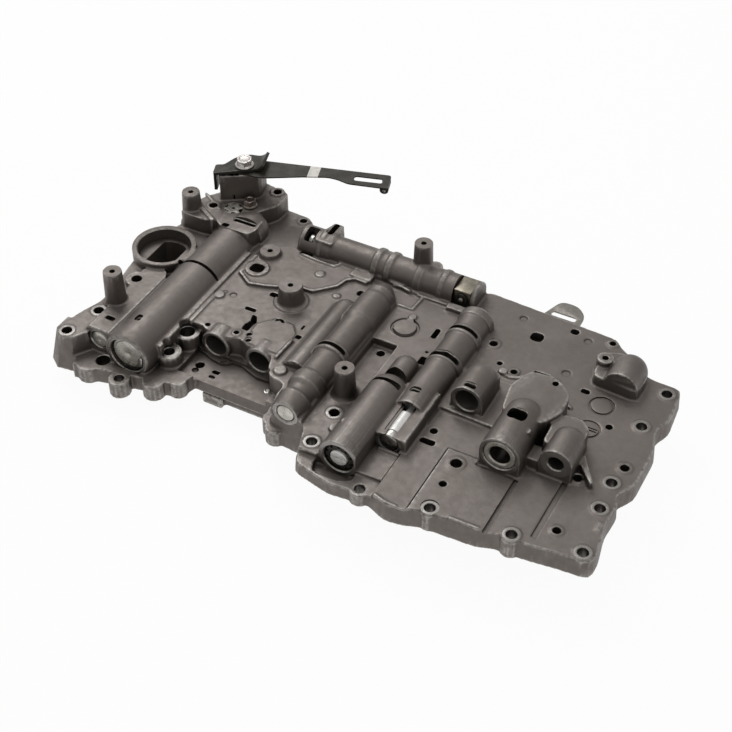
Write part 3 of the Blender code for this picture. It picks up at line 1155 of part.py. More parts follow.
def detent_leaf(mat):
    """Leaf spring with a slot near its tip and two ears that hold the roller pin."""
    added = []
    ear_back = LEAF_TIP - 2 * ROLLER_R
    ear_end = ROLLER_Z - ROLLER_PIN_R - EAR_WALL
    leaf_top = LEAF_BOTTOM + LEAF_T
    ear = [(ear_back, ear_end), (LEAF_TIP, ear_end), (LEAF_TIP, leaf_top), (ear_back, leaf_top)]
    for side in (-1, 1):
        t = ROLLER_T + side * (ROLLER_LENGTH / 2 + GAP + LEAF_T / 2)
        added.append(detent_bar(ear, t - LEAF_T / 2, t + LEAF_T / 2))
    body = extrude(detent_outline(rounded(LEAF_OUTLINE, LEAF_ROUND)), "Z", LEAF_BOTTOM, leaf_top)
    body = boolean(body, added, "UNION")
    s0, s1, t0, t1 = LEAF_SLOT
    slot = rounded([(s0, t0), (s1, t0), (s1, t1), (s0, t1)], LEAF_ROUND)
    pin = circle(LEAF_TIP - ROLLER_R, ROLLER_Z, ROLLER_PIN_R + GAP, SIDES["small"])
    heights = (LEAF_BOTTOM - THROUGH, leaf_top + THROUGH)
    cuts = [extrude(detent_outline(slot), "Z", *heights),
            rod("Z", *DETENT_BOLT, BOLT_SIZES["six"]["shank"] + RUNNING, *heights),
            detent_bar(pin, ROLLER_T - ROLLER_LENGTH, ROLLER_T + ROLLER_LENGTH)]
    made = finish(boolean(body, cuts, "DIFFERENCE"), "detent_leaf", mat)
    set_origin(made, *detent_place(FLEX_S, ROLLER_T), LEAF_BOTTOM + LEAF_T / 2)


def detent_bar(section, t0, t1):
    """A bar across the leaf: its section is given as points (s, z)."""
    bm = bmesh.new()
    ends = []
    for t in (t0, t1):
        ends.append([bm.verts.new((*detent_place(s, t), z)) for s, z in section])
        bm.faces.new(ends[-1])
    for i in range(len(section)):
        j = (i + 1) % len(section)
        bm.faces.new((ends[0][i], ends[0][j], ends[1][j], ends[1][i]))
    return make_object("bar", bm)


def curled_tip():
    """The clamp's tip: a strip that curls up in an arc, away from the leaf."""
    centre_z = CLAMP_BOTTOM + CURL_R
    angles = [CURL_ANGLE * k / CURL_STEPS for k in range(CURL_STEPS + 1)]
    outer = [(CURL_START + CURL_R * math.sin(a), centre_z - CURL_R * math.cos(a)) for a in angles]
    reach = CURL_R - CLAMP_T
    inner = [(CURL_START + reach * math.sin(a), centre_z - reach * math.cos(a)) for a in reversed(angles)]
    root = [(CURL_START - BURY, CLAMP_BOTTOM + CLAMP_T), (CURL_START - BURY, CLAMP_BOTTOM)]
    return detent_bar(outer + inner + root, *CURL_SIDES)


def detent_clamp(mat):
    """Clamp plate over the leaf, with a tab bent down and a curled tip."""
    top = CLAMP_BOTTOM + CLAMP_T
    clamp = extrude(rounded(CLAMP_OUTLINE, CLAMP_ROUND), "Z", CLAMP_BOTTOM, top)
    tab = extrude(CLAMP_TAB_OUTLINE, "Z", CLAMP_BOTTOM - CLAMP_TAB_DROP, top)
    clamp = boolean(clamp, [tab, curled_tip()], "UNION")
    hole = rod("Z", *DETENT_BOLT, BOLT_SIZES["six"]["shank"] + RUNNING, CLAMP_BOTTOM - THROUGH, top + THROUGH)
    finish(boolean(clamp, [hole], "DIFFERENCE"), "detent_clamp", mat)


def detent_roller(black, steel):
    """The roller and its pin, under the end of the leaf and across it."""
    middle = Vector((*detent_place(LEAF_TIP - ROLLER_R, ROLLER_T), ROLLER_Z))
    turn = Matrix.Rotation(DETENT_ANGLE, 4, "Z")
    half = ROLLER_LENGTH / 2
    roller = rod("Y", 0.0, 0.0, ROLLER_R, -half, half)
    hole = rod("Y", 0.0, 0.0, ROLLER_PIN_R + RUNNING, -2 * half, 2 * half, SIDES["small"])
    roller = boolean(roller, [hole], "DIFFERENCE")
    pin_half = half + GAP + LEAF_T + ROLLER_PIN_STANDS
    pin = rod("Y", 0.0, 0.0, ROLLER_PIN_R, -pin_half, pin_half, SIDES["small"])
    for made, name, mat in ((roller, "detent_roller", black), (pin, "detent_roller_pin", steel)):
        finish(made, name, mat)
        made.matrix_world = Matrix.Translation(middle * MM) @ turn


def build():
    """Build every piece of the valve body."""
    clear_scene()
    cast = material("cast_aluminium", (0.165, 0.150, 0.138), 0.85, 0.55)
    steel = material("machined_steel", (0.55, 0.54, 0.51), 1.0, 0.30)
    bright = material("bright_plug", (0.62, 0.60, 0.54), 1.0, 0.28)
    paper = material("gasket_paper", (0.05, 0.05, 0.05), 0.0, 0.8)
    black = material("black_steel", (0.03, 0.03, 0.028), 0.6, 0.45)
    bolt_mat = material("plated_bolt", (0.72, 0.66, 0.62), 0.9, 0.30)
    tan = material("stop_steel", (0.40, 0.37, 0.31), 0.9, 0.40)
    upper_casting(cast)
    lower_casting(cast)
    plates(steel, paper)
    accumulator(steel)
    for valve in (
        ("side", SIDE_X, SIDE_AXIS, SIDE_BORE_R, SIDE_FRONT, SIDE_SPOOL, SIDE_BORE_END),
        ("centre", CENTRE_X, CENTRE_AXIS, CENTRE_BORE_R, CENTRE_FRONT, CENTRE_SPOOL, CENTRE_BORE_END),
        ("right", RIGHT_X, RIGHT_AXIS, RIGHT_BORE_R, RIGHT_FRONT, RIGHT_SPOOL, RIGHT_BORE_END),
    ):
        valve_set(*valve, steel, bright)
    regulator(steel, black, bright)
    manual_valve(steel)
    valve_stop(steel, tan, black)
    ring_sleeve(steel)
    small_plugs(steel)
    flange_bolt("platform_bolt", "five", *PLATFORM_BOLT, DECK + PLATFORM, 1, PLATFORM_BOLT_DEPTH, steel)
    detent_leaf(black)
    detent_clamp(black)
    flange_bolt("detent_bolt", "six", *DETENT_BOLT, CLAMP_BOTTOM + CLAMP_T, 1, DETENT_BOLT_DEPTH, bolt_mat)
    detent_roller(black, steel)
    for i, (x, y) in enumerate(UNDER_BOLTS, start=1):
        flange_bolt("under_bolt_%d" % i, "six", x, y, UNDER_SEAT, -1, UNDER_SHANK, bolt_mat)


build()
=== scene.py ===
"""The looks of a transmission valve body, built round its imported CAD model.

The castings are remeshed from their CAD solids with finer round forms, ribs and knobs laid over them,
so that their edges are soft as cast. Bores, holes, windows and faces are then cut crisp, with machined
walls and broken edges. The visible valves, plugs, bolts and the detent spring are built again, finer.
Sizes and places are in millimetres, as in the CAD frame, and MM turns them into metres.
"""

import json
import math

import bmesh
import bpy
import numpy as np
from mathutils import Matrix, Vector

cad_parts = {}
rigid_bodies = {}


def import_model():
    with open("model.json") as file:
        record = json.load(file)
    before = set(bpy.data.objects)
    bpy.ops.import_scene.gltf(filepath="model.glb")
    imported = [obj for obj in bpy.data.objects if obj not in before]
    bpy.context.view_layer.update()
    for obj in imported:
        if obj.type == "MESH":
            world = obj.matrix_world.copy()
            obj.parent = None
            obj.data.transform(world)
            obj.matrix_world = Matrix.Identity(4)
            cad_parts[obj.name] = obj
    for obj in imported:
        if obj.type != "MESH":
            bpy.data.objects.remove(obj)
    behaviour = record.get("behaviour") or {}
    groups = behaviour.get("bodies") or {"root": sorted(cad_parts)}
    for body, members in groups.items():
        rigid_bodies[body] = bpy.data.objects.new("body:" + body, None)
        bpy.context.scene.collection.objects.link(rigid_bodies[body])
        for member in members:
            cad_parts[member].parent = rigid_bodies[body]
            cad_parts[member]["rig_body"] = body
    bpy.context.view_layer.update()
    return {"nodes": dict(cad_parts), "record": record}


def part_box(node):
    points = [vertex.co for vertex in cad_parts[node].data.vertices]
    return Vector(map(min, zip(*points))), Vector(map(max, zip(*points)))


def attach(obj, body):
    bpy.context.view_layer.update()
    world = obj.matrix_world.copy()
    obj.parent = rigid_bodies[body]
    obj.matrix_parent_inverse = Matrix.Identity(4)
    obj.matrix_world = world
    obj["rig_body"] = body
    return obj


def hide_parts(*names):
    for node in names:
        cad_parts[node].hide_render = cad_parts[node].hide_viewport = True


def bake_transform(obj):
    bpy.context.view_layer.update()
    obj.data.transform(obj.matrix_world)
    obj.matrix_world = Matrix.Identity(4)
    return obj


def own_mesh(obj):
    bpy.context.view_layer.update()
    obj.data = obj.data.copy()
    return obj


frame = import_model()

MM = 0.001
DECK = 38               # cast top face of the upper casting
SKY = DECK + 44         # above every form of the casting
# Grain of a remesh (mm), its smoothing steps and the most triangles it keeps
UPPER_GRAIN = (0.60, 5, 168000)
LOWER_GRAIN = (0.9, 4, 46000)
# Smoothing against which edges and hollows are measured: steps, share kept, pull of the neighbours
RELIEF_STEPS, RELIEF_KEEP, RELIEF_PULL = 14, 0.35, 0.65
HOLE_SIDES = 28
BORE_SIDES = 64
FORM_SIDES = 96
OPENED = 0.15             # how far a crisp cut goes past the CAD cut under it
# Angles in degrees past which an edge stays sharp in the shading
SMALL_SHARP, TURNED_SHARP, SOFT_SHARP, STAMPED_SHARP = 35, 38, 42, 50

# Camera, from the photograph's perspective
CAMERA_HEIGHT = 612
CAMERA_PLACE = (313.4, -581.9, DECK + CAMERA_HEIGHT)
CAMERA_AIM = (0, 0, DECK)
CAMERA_LENS = 70.33
CAMERA_SENSOR = 36

# Material slots of a cutter
WALL, FACE, RIM, SKIN = range(4)


# Meshes

def along(axis, u, v, w):
    """A point whose section coordinates are u, v and whose distance along the axis is w."""
    if axis == "Z":
        return (u, v, w)
    if axis == "Y":
        return (u, w, v)
    return (w, u, v)


def seen(px, py, height):
    """The real x, y of a place that the photograph shows at px, py when read in the deck plane."""
    share = height / CAMERA_HEIGHT
    return (px + share * (CAMERA_PLACE[0] - px), py + share * (CAMERA_PLACE[1] - py))


def mesh_piece(name, bm, mats=()):
    """An object in metres from a bmesh drawn in millimetres."""
    bmesh.ops.recalc_face_normals(bm, faces=bm.faces)
    bmesh.ops.scale(bm, vec=(MM, MM, MM), verts=bm.verts)
    mesh = bpy.data.meshes.new(name)
    bm.to_mesh(mesh)
    bm.free()
    made = bpy.data.objects.new(name, mesh)
    bpy.context.scene.collection.objects.link(made)
    for mat in mats:
        mesh.materials.append(mat)
    return made


def circle(u, v, radius, sides=BORE_SIDES):
    """Points round a circle."""
    step = 2 * math.pi / sides
    return [(u + radius * math.cos(i * step), v + radius * math.sin(i * step)) for i in range(sides)]


def strip(bm, first, second, index, closed=True):
    """Faces between two rings of points."""
    count = len(first)
    for i in range(count if closed else count - 1):
        j = (i + 1) % count
        bm.faces.new((first[i], first[j], second[j], second[i])).material_index = index


def rings_solid(rings, mats, bands):
    """A closed solid through rings of points; bands are the material indices between them."""
    bm = bmesh.new()
    made = [[bm.verts.new(point) for point in ring] for ring in rings]
    bands = bands or [0] * (len(made) - 1)
    bm.faces.new(made[0]).material_index = bands[0]
    bm.faces.new(made[-1]).material_index = bands[-1]
    for ring, following, index in zip(made, made[1:], bands):
        strip(bm, ring, following, index)
    return mesh_piece("form", bm, mats)


def prism(outline, axis, start, end, mats=(), index=0):
    """A straight bar with the given section, from start to end along the axis."""
    return rings_solid([[along(axis, u, v, w) for u, v in outline] for w in (start, end)], mats, [index])


def rod(axis, u, v, radius, start, end, mats=(), sides=BORE_SIDES, index=0):
    """A straight round bar."""
    return prism(circle(u, v, radius, sides), axis, start, end, mats, index)


def rectangle(x0, x1, y0, y1):
    """The corners of a rectangle."""
    return [(x0, y0), (x1, y0), (x1, y1), (x0, y1)]


def box(x0, x1, y0, y1, z0, z1, mats=(), index=0):
    """A block between two corners."""
    return prism(rectangle(x0, x1, y0, y1), "Z", z0, z1, mats, index)


def turned(axis, u, v, profile, mats=(), sides=FORM_SIDES, bands=None):
    """A turned solid: profile is a list of (distance along the axis, radius)."""
    rings = [[along(axis, a, b, w) for a, b in circle(u, v, radius, sides)] for w, radius in profile]
    return rings_solid(rings, mats, bands)


def stepped(start, radius, steps):
    """A profile from steps given as (distance from the start, change of the radius)."""
    return [(start + w, radius + more) for w, more in steps]


def loft(levels, mats=(), bands=None):
    """An upright solid: levels is a list of (height, outline)."""
    return rings_solid([[(u, v, z) for u, v in outline] for z, outline in levels], mats, bands)


def lathe(axis, u, v, section, mats=(), sides=FORM_SIDES, index=0):
    """A turned ring: section is a closed loop of (distance along the axis, radius)."""
    bm = bmesh.new()
    rings = [[bm.verts.new(along(axis, a, b, w)) for a, b in circle(u, v, r, sides)] for w, r in section]
    for ring, following in zip(rings, rings[1:] + rings[:1]):
        strip(bm, ring, following, index)
    return mesh_piece("ring", bm, mats)


def domed(start, end, radius, steps=12, flat=0.17):
    """Profile of a round form that ends in a dome at its far end."""
    profile = [(start, radius)]
    for i in range(steps):
        angle = 0.5 * math.pi * i / steps
        place = end - radius + radius * math.sin(angle)
        profile.append((place, max(radius * math.cos(angle), radius * flat)))
    profile.append((end, radius * flat))
    return profile


def rounded(points, radius, steps=6):
    """The outline with each corner turned into an arc."""
    result = []
    count = len(points)
    for i, here in enumerate(points):
        before = Vector(points[i - 1]) - Vector(here)
        after = Vector(points[(i + 1) % count]) - Vector(here)
        reach = min(radius, 0.45 * before.length, 0.45 * after.length)
        first = Vector(here) + before.normalized() * reach
        last = Vector(here) + after.normalized() * reach
        for k in range(steps + 1):
            t = k / steps
            point = first * (1 - t) ** 2 + Vector(here) * 2 * t * (1 - t) + last * t ** 2
            result.append((point.x, point.y))
    return result


def grown(points, distance):
    """The outline moved outward by a distance."""
    count = len(points)
    area = sum(points[i - 1][0] * points[i][1] - points[i][0] * points[i - 1][1] for i in range(count))
    side = 1 if area > 0 else -1
    result = []
    for i, here in enumerate(points):
        back = (Vector(here) - Vector(points[i - 1])).normalized()
        ahead = (Vector(points[(i + 1) % count]) - Vector(here)).normalized()
        normal = Vector((back.y + ahead.y, -back.x - ahead.x)).normalized() * side
        result.append(tuple(Vector(here) + normal * distance))
    return result


def slot_outline(x, y, width, length, corner=0.42):
    """A rectangle with rounded corners about a centre."""
    w, h = width / 2, length / 2
    return rounded(rectangle(x - w, x + w, y - h, y + h), corner * min(width, length), 4)


def applied(piece):
    """Bake the modifiers of a piece into its mesh."""
    graph = bpy.context.evaluated_depsgraph_get()
    mesh = bpy.data.meshes.new_from_object(piece.evaluated_get(graph))
    piece.modifiers.clear()
    piece.data = mesh
    return piece


def joined(base, others):
    """Put the meshes of other pieces into the base, as they are."""
    bm = bmesh.new()
    bm.from_mesh(base.data)
    for other in others:
        bm.from_mesh(other.data)
        bpy.data.objects.remove(other, do_unlink=True)
    bm.to_mesh(base.data)
    bm.free()
    return base


def cut(base, cutters, operation="DIFFERENCE", solver="MANIFOLD"):
    """Cut the base with all cutters; what a cutter leaves takes the cutter's material."""
    group = bpy.data.collections.new("cutters")
    bpy.context.scene.collection.children.link(group)
    for cutter in cutters:
        group.objects.link(cutter)
    step = base.modifiers.new("cut", "BOOLEAN")
    step.operation = operation
    step.operand_type = "COLLECTION"
    step.collection = group
    step.solver = solver
    step.material_mode = "TRANSFER"
    applied(base)
    for cutter in cutters:
        bpy.data.objects.remove(cutter, do_unlink=True)
    bpy.data.collections.remove(group)
    return base


def bevelled(piece, width, segments=2, angle=35):
    """Break the sharp edges of a small machined or stamped piece."""
    step = piece.modifiers.new("bevel", "BEVEL")
    step.width = width * MM
    step.segments = segments
    step.limit_method = "ANGLE"
    step.angle_limit = math.radians(angle)
    return applied(piece)


def measure_relief(mesh):
    """Store how far each point stands out from (or lies under) its smoothed surroundings."""
    count = len(mesh.vertices)
    here, normal = np.empty(count * 3), np.empty(count * 3)
    mesh.vertices.foreach_get("co", here)
    mesh.vertices.foreach_get("normal", normal)
    here, normal = here.reshape(-1, 3), normal.reshape(-1, 3)
    ends = np.empty(len(mesh.edges) * 2, dtype=np.int64)
    mesh.edges.foreach_get("vertices", ends)
    a, b = ends[0::2], ends[1::2]
    degree = np.maximum(np.bincount(a, minlength=count) + np.bincount(b, minlength=count), 1)
    moved = here.copy()
    for _ in range(RELIEF_STEPS):
        total = np.empty_like(moved)
        for k in range(3):
            total[:, k] = np.bincount(a, moved[b, k], count) + np.bincount(b, moved[a, k], count)
        moved = RELIEF_KEEP * moved + RELIEF_PULL * total / degree[:, None]
    relief = ((here - moved) * normal).sum(axis=1) / MM
    store = mesh.attributes.new("relief", "FLOAT", "POINT")
    store.data.foreach_set("value", relief.astype(np.float32))


def soft_casting(piece, skin, voxel, smooth, triangles):
    """Fuse a piece's shells, soften its edges as cast, and thin out the flat stretches."""
    piece.data.materials.clear()
    piece.data.materials.append(skin)
    remesh = piece.modifiers.new("remesh", "REMESH")
    remesh.mode = "VOXEL"
    remesh.voxel_size = voxel * MM
    applied(piece)
    soften = piece.modifiers.new("soften", "SMOOTH")
    soften.iterations = smooth
    applied(piece)
    measure_relief(piece.data)
    faces = 2 * len(piece.data.polygons)
    if faces > triangles:
        thin = piece.modifiers.new("thin", "DECIMATE")
        thin.ratio = triangles / faces
        applied(piece)
    return piece


def shade(piece, angle=40):
    """Smooth shading with sharp edges past the angle."""
    piece.data.shade_smooth()
    piece.data.set_sharp_from_angle(angle=math.radians(angle))
    return piece


def copy_of(node):
    """A free copy of a CAD node's mesh, with its doubled points merged."""
    made = bpy.data.objects.new(node + "_copy", frame["nodes"][node].data.copy())
    bpy.context.scene.collection.objects.link(made)
    bm = bmesh.new()
    bm.from_mesh(made.data)
    bmesh.ops.remove_doubles(bm, verts=bm.verts, dist=0.01 * MM)
    bm.to_mesh(made.data)
    bm.free()
    return made


def stand_for(piece, node, ride=True):
    """Let a piece take the place of its CAD node and, unless ride is off, ride on its body."""
    piece.name = node + "_look"
    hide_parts(node)
    if ride:
        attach(piece, frame["nodes"][node]["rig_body"])
    return piece


def skins_of(node):
    """The finish of a node, as a list of materials."""
    return [SLOT_LOOKS[SLOT_OF[node]]]


def turned_piece(node, axis, u, v, profile, skins=None, sides=FORM_SIDES):
    """A turned solid in the place of a CAD node."""
    return stand_for(shade(turned(axis, u, v, profile, skins or skins_of(node), sides), TURNED_SHARP), node)


# Materials

class Nodes:
    """A small help for writing a material's node tree."""

    def __init__(self, name):
        self.mat = bpy.data.materials.new(name)
        self.mat.use_nodes = True
        self.tree = self.mat.node_tree
        self.shader = self.tree.nodes["Principled BSDF"]
        self.place = self.tree.nodes.new("ShaderNodeTexCoord").outputs["Object"]

    def link(self, source, target):
        self.tree.links.new(source, target)

    def noise(self, scale, detail=4.0, rough=0.55, stretch=None, offset=0.0):
        node = self.tree.nodes.new("ShaderNodeTexNoise")
        node.inputs["Scale"].default_value = scale
        node.inputs["Detail"].default_value = detail
        node.inputs["Roughness"].default_value = rough
        mapping = self.tree.nodes.new("ShaderNodeMapping")
        mapping.inputs["Scale"].default_value = stretch or (1.0, 1.0, 1.0)
        mapping.inputs["Location"].default_value = (offset, offset * 0.7, offset * 1.3)
        self.link(self.place, mapping.inputs["Vector"])
        self.link(mapping.outputs["Vector"], node.inputs["Vector"])
        return node.outputs["Fac"]

    def ramp(self, value, low, high, out_low=0.0, out_high=1.0):
        node = self.tree.nodes.new("ShaderNodeMapRange")
        node.interpolation_type = "SMOOTHSTEP"
        for key, number in (("From Min", low), ("From Max", high), ("To Min", out_low), ("To Max", out_high)):
            node.inputs[key].default_value = number
        self.link(value, node.inputs["Value"])
        return node.outputs["Result"]

    def mix(self, factor, first, second):
        node = self.tree.nodes.new("ShaderNodeMix")
        node.data_type = "RGBA"
        for key, colour in (("A", first), ("B", second)):
            socket = next(s for s in node.inputs if s.name == key and s.type == "RGBA")
            if isinstance(colour, tuple):
                socket.default_value = (*colour, 1.0)
            else:
                self.link(colour, socket)
        self.put(factor, node.inputs["Factor"])
        return next(s for s in node.outputs if s.type == "RGBA")

    def mottled(self, scale, detail, low, high, dark, light):
        """A colour that wanders between two tones."""
        return self.mix(self.ramp(self.noise(scale, detail), low, high), dark, light)

    def math(self, operation, first, second):
        node = self.tree.nodes.new("ShaderNodeMath")
        node.operation = operation
        self.put(first, node.inputs[0])
        self.put(second, node.inputs[1])
        return node.outputs[0]

    def put(self, value, socket):
        if isinstance(value, (int, float)):
            socket.default_value = value
        else:
            self.link(value, socket)

    def attribute(self, name):
        node = self.tree.nodes.new("ShaderNodeAttribute")
        node.attribute_name = name
        return node.outputs["Fac"]

    def steepness(self):
        """0 on level faces, 1 on upright walls."""
        node = self.tree.nodes.new("ShaderNodeNewGeometry")
        parts = self.tree.nodes.new("ShaderNodeSeparateXYZ")
        self.link(node.outputs["Normal"], parts.inputs[0])
        return self.math("SUBTRACT", 1.0, self.math("ABSOLUTE", parts.outputs["Z"], 0.0))

    def hollow(self, reach):
        """1 in the open, falling toward 0 in corners and hollows narrower than the reach."""
        node = self.tree.nodes.new("ShaderNodeAmbientOcclusion")
        node.samples = 6
        node.inputs["Distance"].default_value = reach
        return node.outputs["AO"]

    def bump(self, height, distance, strength=1.0, before=None):
        node = self.tree.nodes.new("ShaderNodeBump")
        node.inputs["Strength"].default_value = strength
        node.inputs["Distance"].default_value = distance
        self.link(height, node.inputs["Height"])
        if before:
            self.link(before, node.inputs["Normal"])
        return node.outputs["Normal"]

    def surface(self, colour, metallic, roughness, normal=None):
        inputs = self.shader.inputs
        if isinstance(colour, tuple):
            inputs["Base Color"].default_value = (*colour, 1.0)
        else:
            self.link(colour, inputs["Base Color"])
        self.put(metallic, inputs["Metallic"])
        self.put(roughness, inputs["Roughness"])
        if normal:
            self.link(normal, inputs["Normal"])
        return self.mat


RUBBED_AND_HIGHLIT = (0.52, 0.50, 0.47)    # bare metal of rubbed and broken edges, made paler as a painted highlight


def cast_skin(name="cast_skin", tone=1.0):
    """Die-cast aluminium with a thin oily grey-brown film, painted shade in its hollows and on its upright
    walls, and edges rubbed pale, partly as a painted highlight.
    """
    n = Nodes(name)

    def toned(*colour):
        return tuple(tone * c for c in colour)

    colour = n.mottled(22.0, 3.0, 0.35, 0.65, toned(0.176, 0.156, 0.143), toned(0.204, 0.182, 0.169))
    patch = n.noise(130.0, 4.0, offset=3.0)
    colour = n.mix(n.ramp(patch, 0.45, 0.75, 0.0, 0.30), colour, toned(0.234, 0.211, 0.196))
    # Painted shade: steep and upright walls are mixed toward a darker brown.
    colour = n.mix(n.ramp(n.steepness(), 0.45, 0.95, 0.0, 0.35), colour, toned(0.118, 0.097, 0.082))
    # Painted shade: corners and hollows, found by ambient occlusion, are mixed toward near black.
    colour = n.mix(n.ramp(n.hollow(0.010), 0.20, 0.80, 0.85, 0.0), colour, toned(0.040, 0.033, 0.028))
    # Wear and painted highlight: edges that stand out are mixed toward pale bare metal, partly as rubbing,
    # partly standing in for the light they catch.
    standing_out = n.ramp(n.attribute("relief"), 0.07, 0.32)
    rub_and_highlight = n.math("MULTIPLY", standing_out, n.ramp(n.noise(380.0, 3.0, offset=1.0), 0.28, 0.60))
    colour = n.mix(n.math("MULTIPLY", rub_and_highlight, 0.62), colour, RUBBED_AND_HIGHLIT)
    roughness = n.ramp(n.noise(240.0, 5.0, offset=2.0), 0.3, 0.7, 0.45, 0.58)
    grain = n.bump(n.noise(2300.0, 3.0, 0.6), 0.00006, 0.5)
    normal = n.bump(n.noise(330.0, 3.0, 0.5, offset=5.0), 0.00022, 0.45, grain)
    return n.surface(colour, 0.82, roughness, normal)


def machined_skin():
    """Aluminium faced by a cutter: paler, with fine tool lines."""
    n = Nodes("machined_aluminium")
    colour = n.mottled(180.0, 4.0, 0.3, 0.7, (0.25, 0.237, 0.222), (0.33, 0.316, 0.300))
    lines = n.noise(5200.0, 2.0, stretch=(1.0, 0.15, 1.0))
    return n.surface(colour, 0.9, n.ramp(lines, 0.3, 0.7, 0.32, 0.48), n.bump(lines, 0.00003, 0.4))


def edge_skin():
    """A broken edge of bare metal, made paler as a painted highlight."""
    n = Nodes("bare_edge_painted_highlight")
    colour = n.mottled(500.0, 4.0, 0.35, 0.65, (0.30, 0.285, 0.262), RUBBED_AND_HIGHLIT)
    roughness = n.ramp(n.noise(900.0, 3.0), 0.3, 0.7, 0.26, 0.44)
    return n.surface(colour, 0.9, roughness, n.bump(n.noise(1500.0), 0.00004, 0.4))


def painted_shade_bore_skin():
    """The inner wall of a bore, hole or window, painted near black as shade."""
    n = Nodes("bore_wall_painted_shade")
    colour = n.mottled(260.0, 4.0, 0.3, 0.7, (0.060, 0.052, 0.046), (0.105, 0.094, 0.084))
    lines = n.noise(3000.0, 2.0, stretch=(1.0, 8.0, 1.0))
    return n.surface(colour, 0.8, 0.36, n.bump(lines, 0.00003, 0.4))


def steel_skin(name, dark, light, rough_low, rough_high, metallic=1.0, film=0.35):
    """Turned or ground steel with a slight film and fine lines."""
    n = Nodes(name)
    colour = n.mottled(300.0, 4.0, 0.3, 0.7, dark, light)
    oiled = n.ramp(n.noise(90.0, 4.0, offset=4.0), 0.45, 0.75, 0.0, film)
    colour = n.mix(oiled, colour, tuple(0.45 * c for c in dark))
    lines = n.noise(3600.0, 3.0, stretch=(1.0, 0.2, 1.0))
    roughness = n.ramp(n.noise(700.0, 4.0, offset=2.0), 0.3, 0.7, rough_low, rough_high)
    return n.surface(colour, metallic, roughness, n.bump(lines, 0.00001, 0.15))


def black_skin():
    """Heat-treated spring steel: near black with an olive cast and slight scuffs."""
    n = Nodes("black_spring_steel")
    colour = n.mottled(120.0, 5.0, 0.3, 0.7, (0.032, 0.030, 0.025), (0.052, 0.049, 0.041))
    scuff = n.ramp(n.noise(900.0, 5.0, stretch=(0.3, 1.0, 1.0)), 0.66, 0.78, 0.0, 0.5)
    colour = n.mix(scuff, colour, (0.12, 0.115, 0.10))
    roughness = n.ramp(n.noise(500.0), 0.3, 0.7, 0.36, 0.50)
    return n.surface(colour, 0.55, roughness, n.bump(n.noise(1500.0), 0.00004, 0.5))


def paper_skin():
    """Dark fibre gasket."""
    n = Nodes("gasket_fibre")
    colour = n.mix(n.noise(900.0, 5.0), (0.030, 0.030, 0.029), (0.066, 0.064, 0.060))
    return n.surface(colour, 0.0, 0.85, n.bump(n.noise(2500.0), 0.00005, 0.6))


def paint_skin():
    """The band of pale paint on the leaf spring."""
    n = Nodes("paint_band")
    colour = n.mottled(300.0, 5.0, 0.35, 0.65, (0.60, 0.58, 0.54), (0.74, 0.72, 0.68))
    return n.surface(colour, 0.0, 0.55, n.bump(n.noise(1200.0), 0.00006, 0.5))


CAST = cast_skin()
CAST_LOWER = cast_skin("cast_skin_lower", 1.06)
MACHINED = machined_skin()
# Broken edges of the cuts: bare metal, paler as a painted highlight.
EDGE = edge_skin()
# Painted shade inside bores, holes, windows and the holes of small parts.
BORE = painted_shade_bore_skin()
STEEL = steel_skin("machined_steel_skin", (0.40, 0.39, 0.36), (0.55, 0.54, 0.50), 0.26, 0.38)
BRIGHT = steel_skin("bright_plug_skin", (0.50, 0.48, 0.43), (0.66, 0.64, 0.59), 0.26, 0.38, 0.65)
BOLT = steel_skin("plated_bolt_skin", (0.56, 0.52, 0.50), (0.70, 0.67, 0.65), 0.24, 0.36)
# Ground steel of the right spool and the adjuster, whitened past steel's own tone as a painted reflection.
WHITE_SHEEN = steel_skin("ground_disc_skin_painted_sheen", (0.70, 0.69, 0.67), (0.84, 0.83, 0.81), 0.28, 0.36, 0.30, 0.05)
PLATE = steel_skin("separator_plate_skin", (0.25, 0.232, 0.212), (0.33, 0.31, 0.285), 0.40, 0.52, 0.85, 0.1)
BROWN = steel_skin("oiled_bolt_skin", (0.20, 0.165, 0.145), (0.34, 0.30, 0.27), 0.24, 0.40)
TAN = steel_skin("stop_block_skin", (0.26, 0.235, 0.19), (0.38, 0.35, 0.29), 0.30, 0.45)
BLACK = black_skin()
PAPER = paper_skin()
PAINT = paint_skin()
CUTTER_SKINS = (BORE, MACHINED, EDGE, CAST)
SLOT_LOOKS = {
    "cast_aluminium": CAST, "machined_steel": STEEL, "bright_plug": BRIGHT, "gasket_paper": PAPER,
    "black_steel": BLACK, "plated_bolt": BOLT, "stop_steel": TAN,
}
SLOT_OF = {part["node"]: part["material_slot"] for part in frame["record"]["subparts"]}


def dress_nodes():
    """Give every CAD node its finish; the ones with a finer piece are replaced later."""
    for name, slot in SLOT_OF.items():
        node = frame["nodes"][name]
        node.data.materials.clear()
        node.data.materials.append(SLOT_LOOKS[slot])


# The upper casting: round forms

# Domed round forms along Y: x, axis height over the deck, radius, front, back, width of the foot's fillet
ROUND_FORMS = [
    (-134.8, 3.6, 12, 75, 94, 0), (-38, -2, 8.5, -24, 50, 1.2), (25, 3, 13.2, -81.5, -6.8, 0),
    (23, 0, 8.5, -20, 18, 0), (45, 3, 11, -29, 77, 2.2), (73.4, 10.5, 10.6, -9, 22, 1.4),
    (110.2, 12, 12.8, -43, 4, 1.4), (141.3, 11.5, 10.2, -33, -4, 1.2), (149.5, 5, 11.5, 51, 79, 1),
]
# Raised lips round the curved slits: x, axis height over the deck, radius of the form, place along Y
COLLARS = [(45, 3, 11, 18.8), (45, 3, 11, 46.8), (45, 3, 11, 66), (-21.5, 3, 11, -6.5)]
COLLAR_STEPS = [(-4.4, -0.6), (-3, 1), (3, 1), (4.4, -0.6)]
FILLET_H = 2.4
SUNK = 2                # how far an overlay reaches into the casting under its deck
ACCUMULATOR = {"x": -142, "axis": -5, "radius": 17, "front": -60, "bore": 12.4, "bore_end": 34}
MANUAL = {"y": 90, "axis": 4, "bore": 6.2, "bore_left": -93, "bore_right": 34}
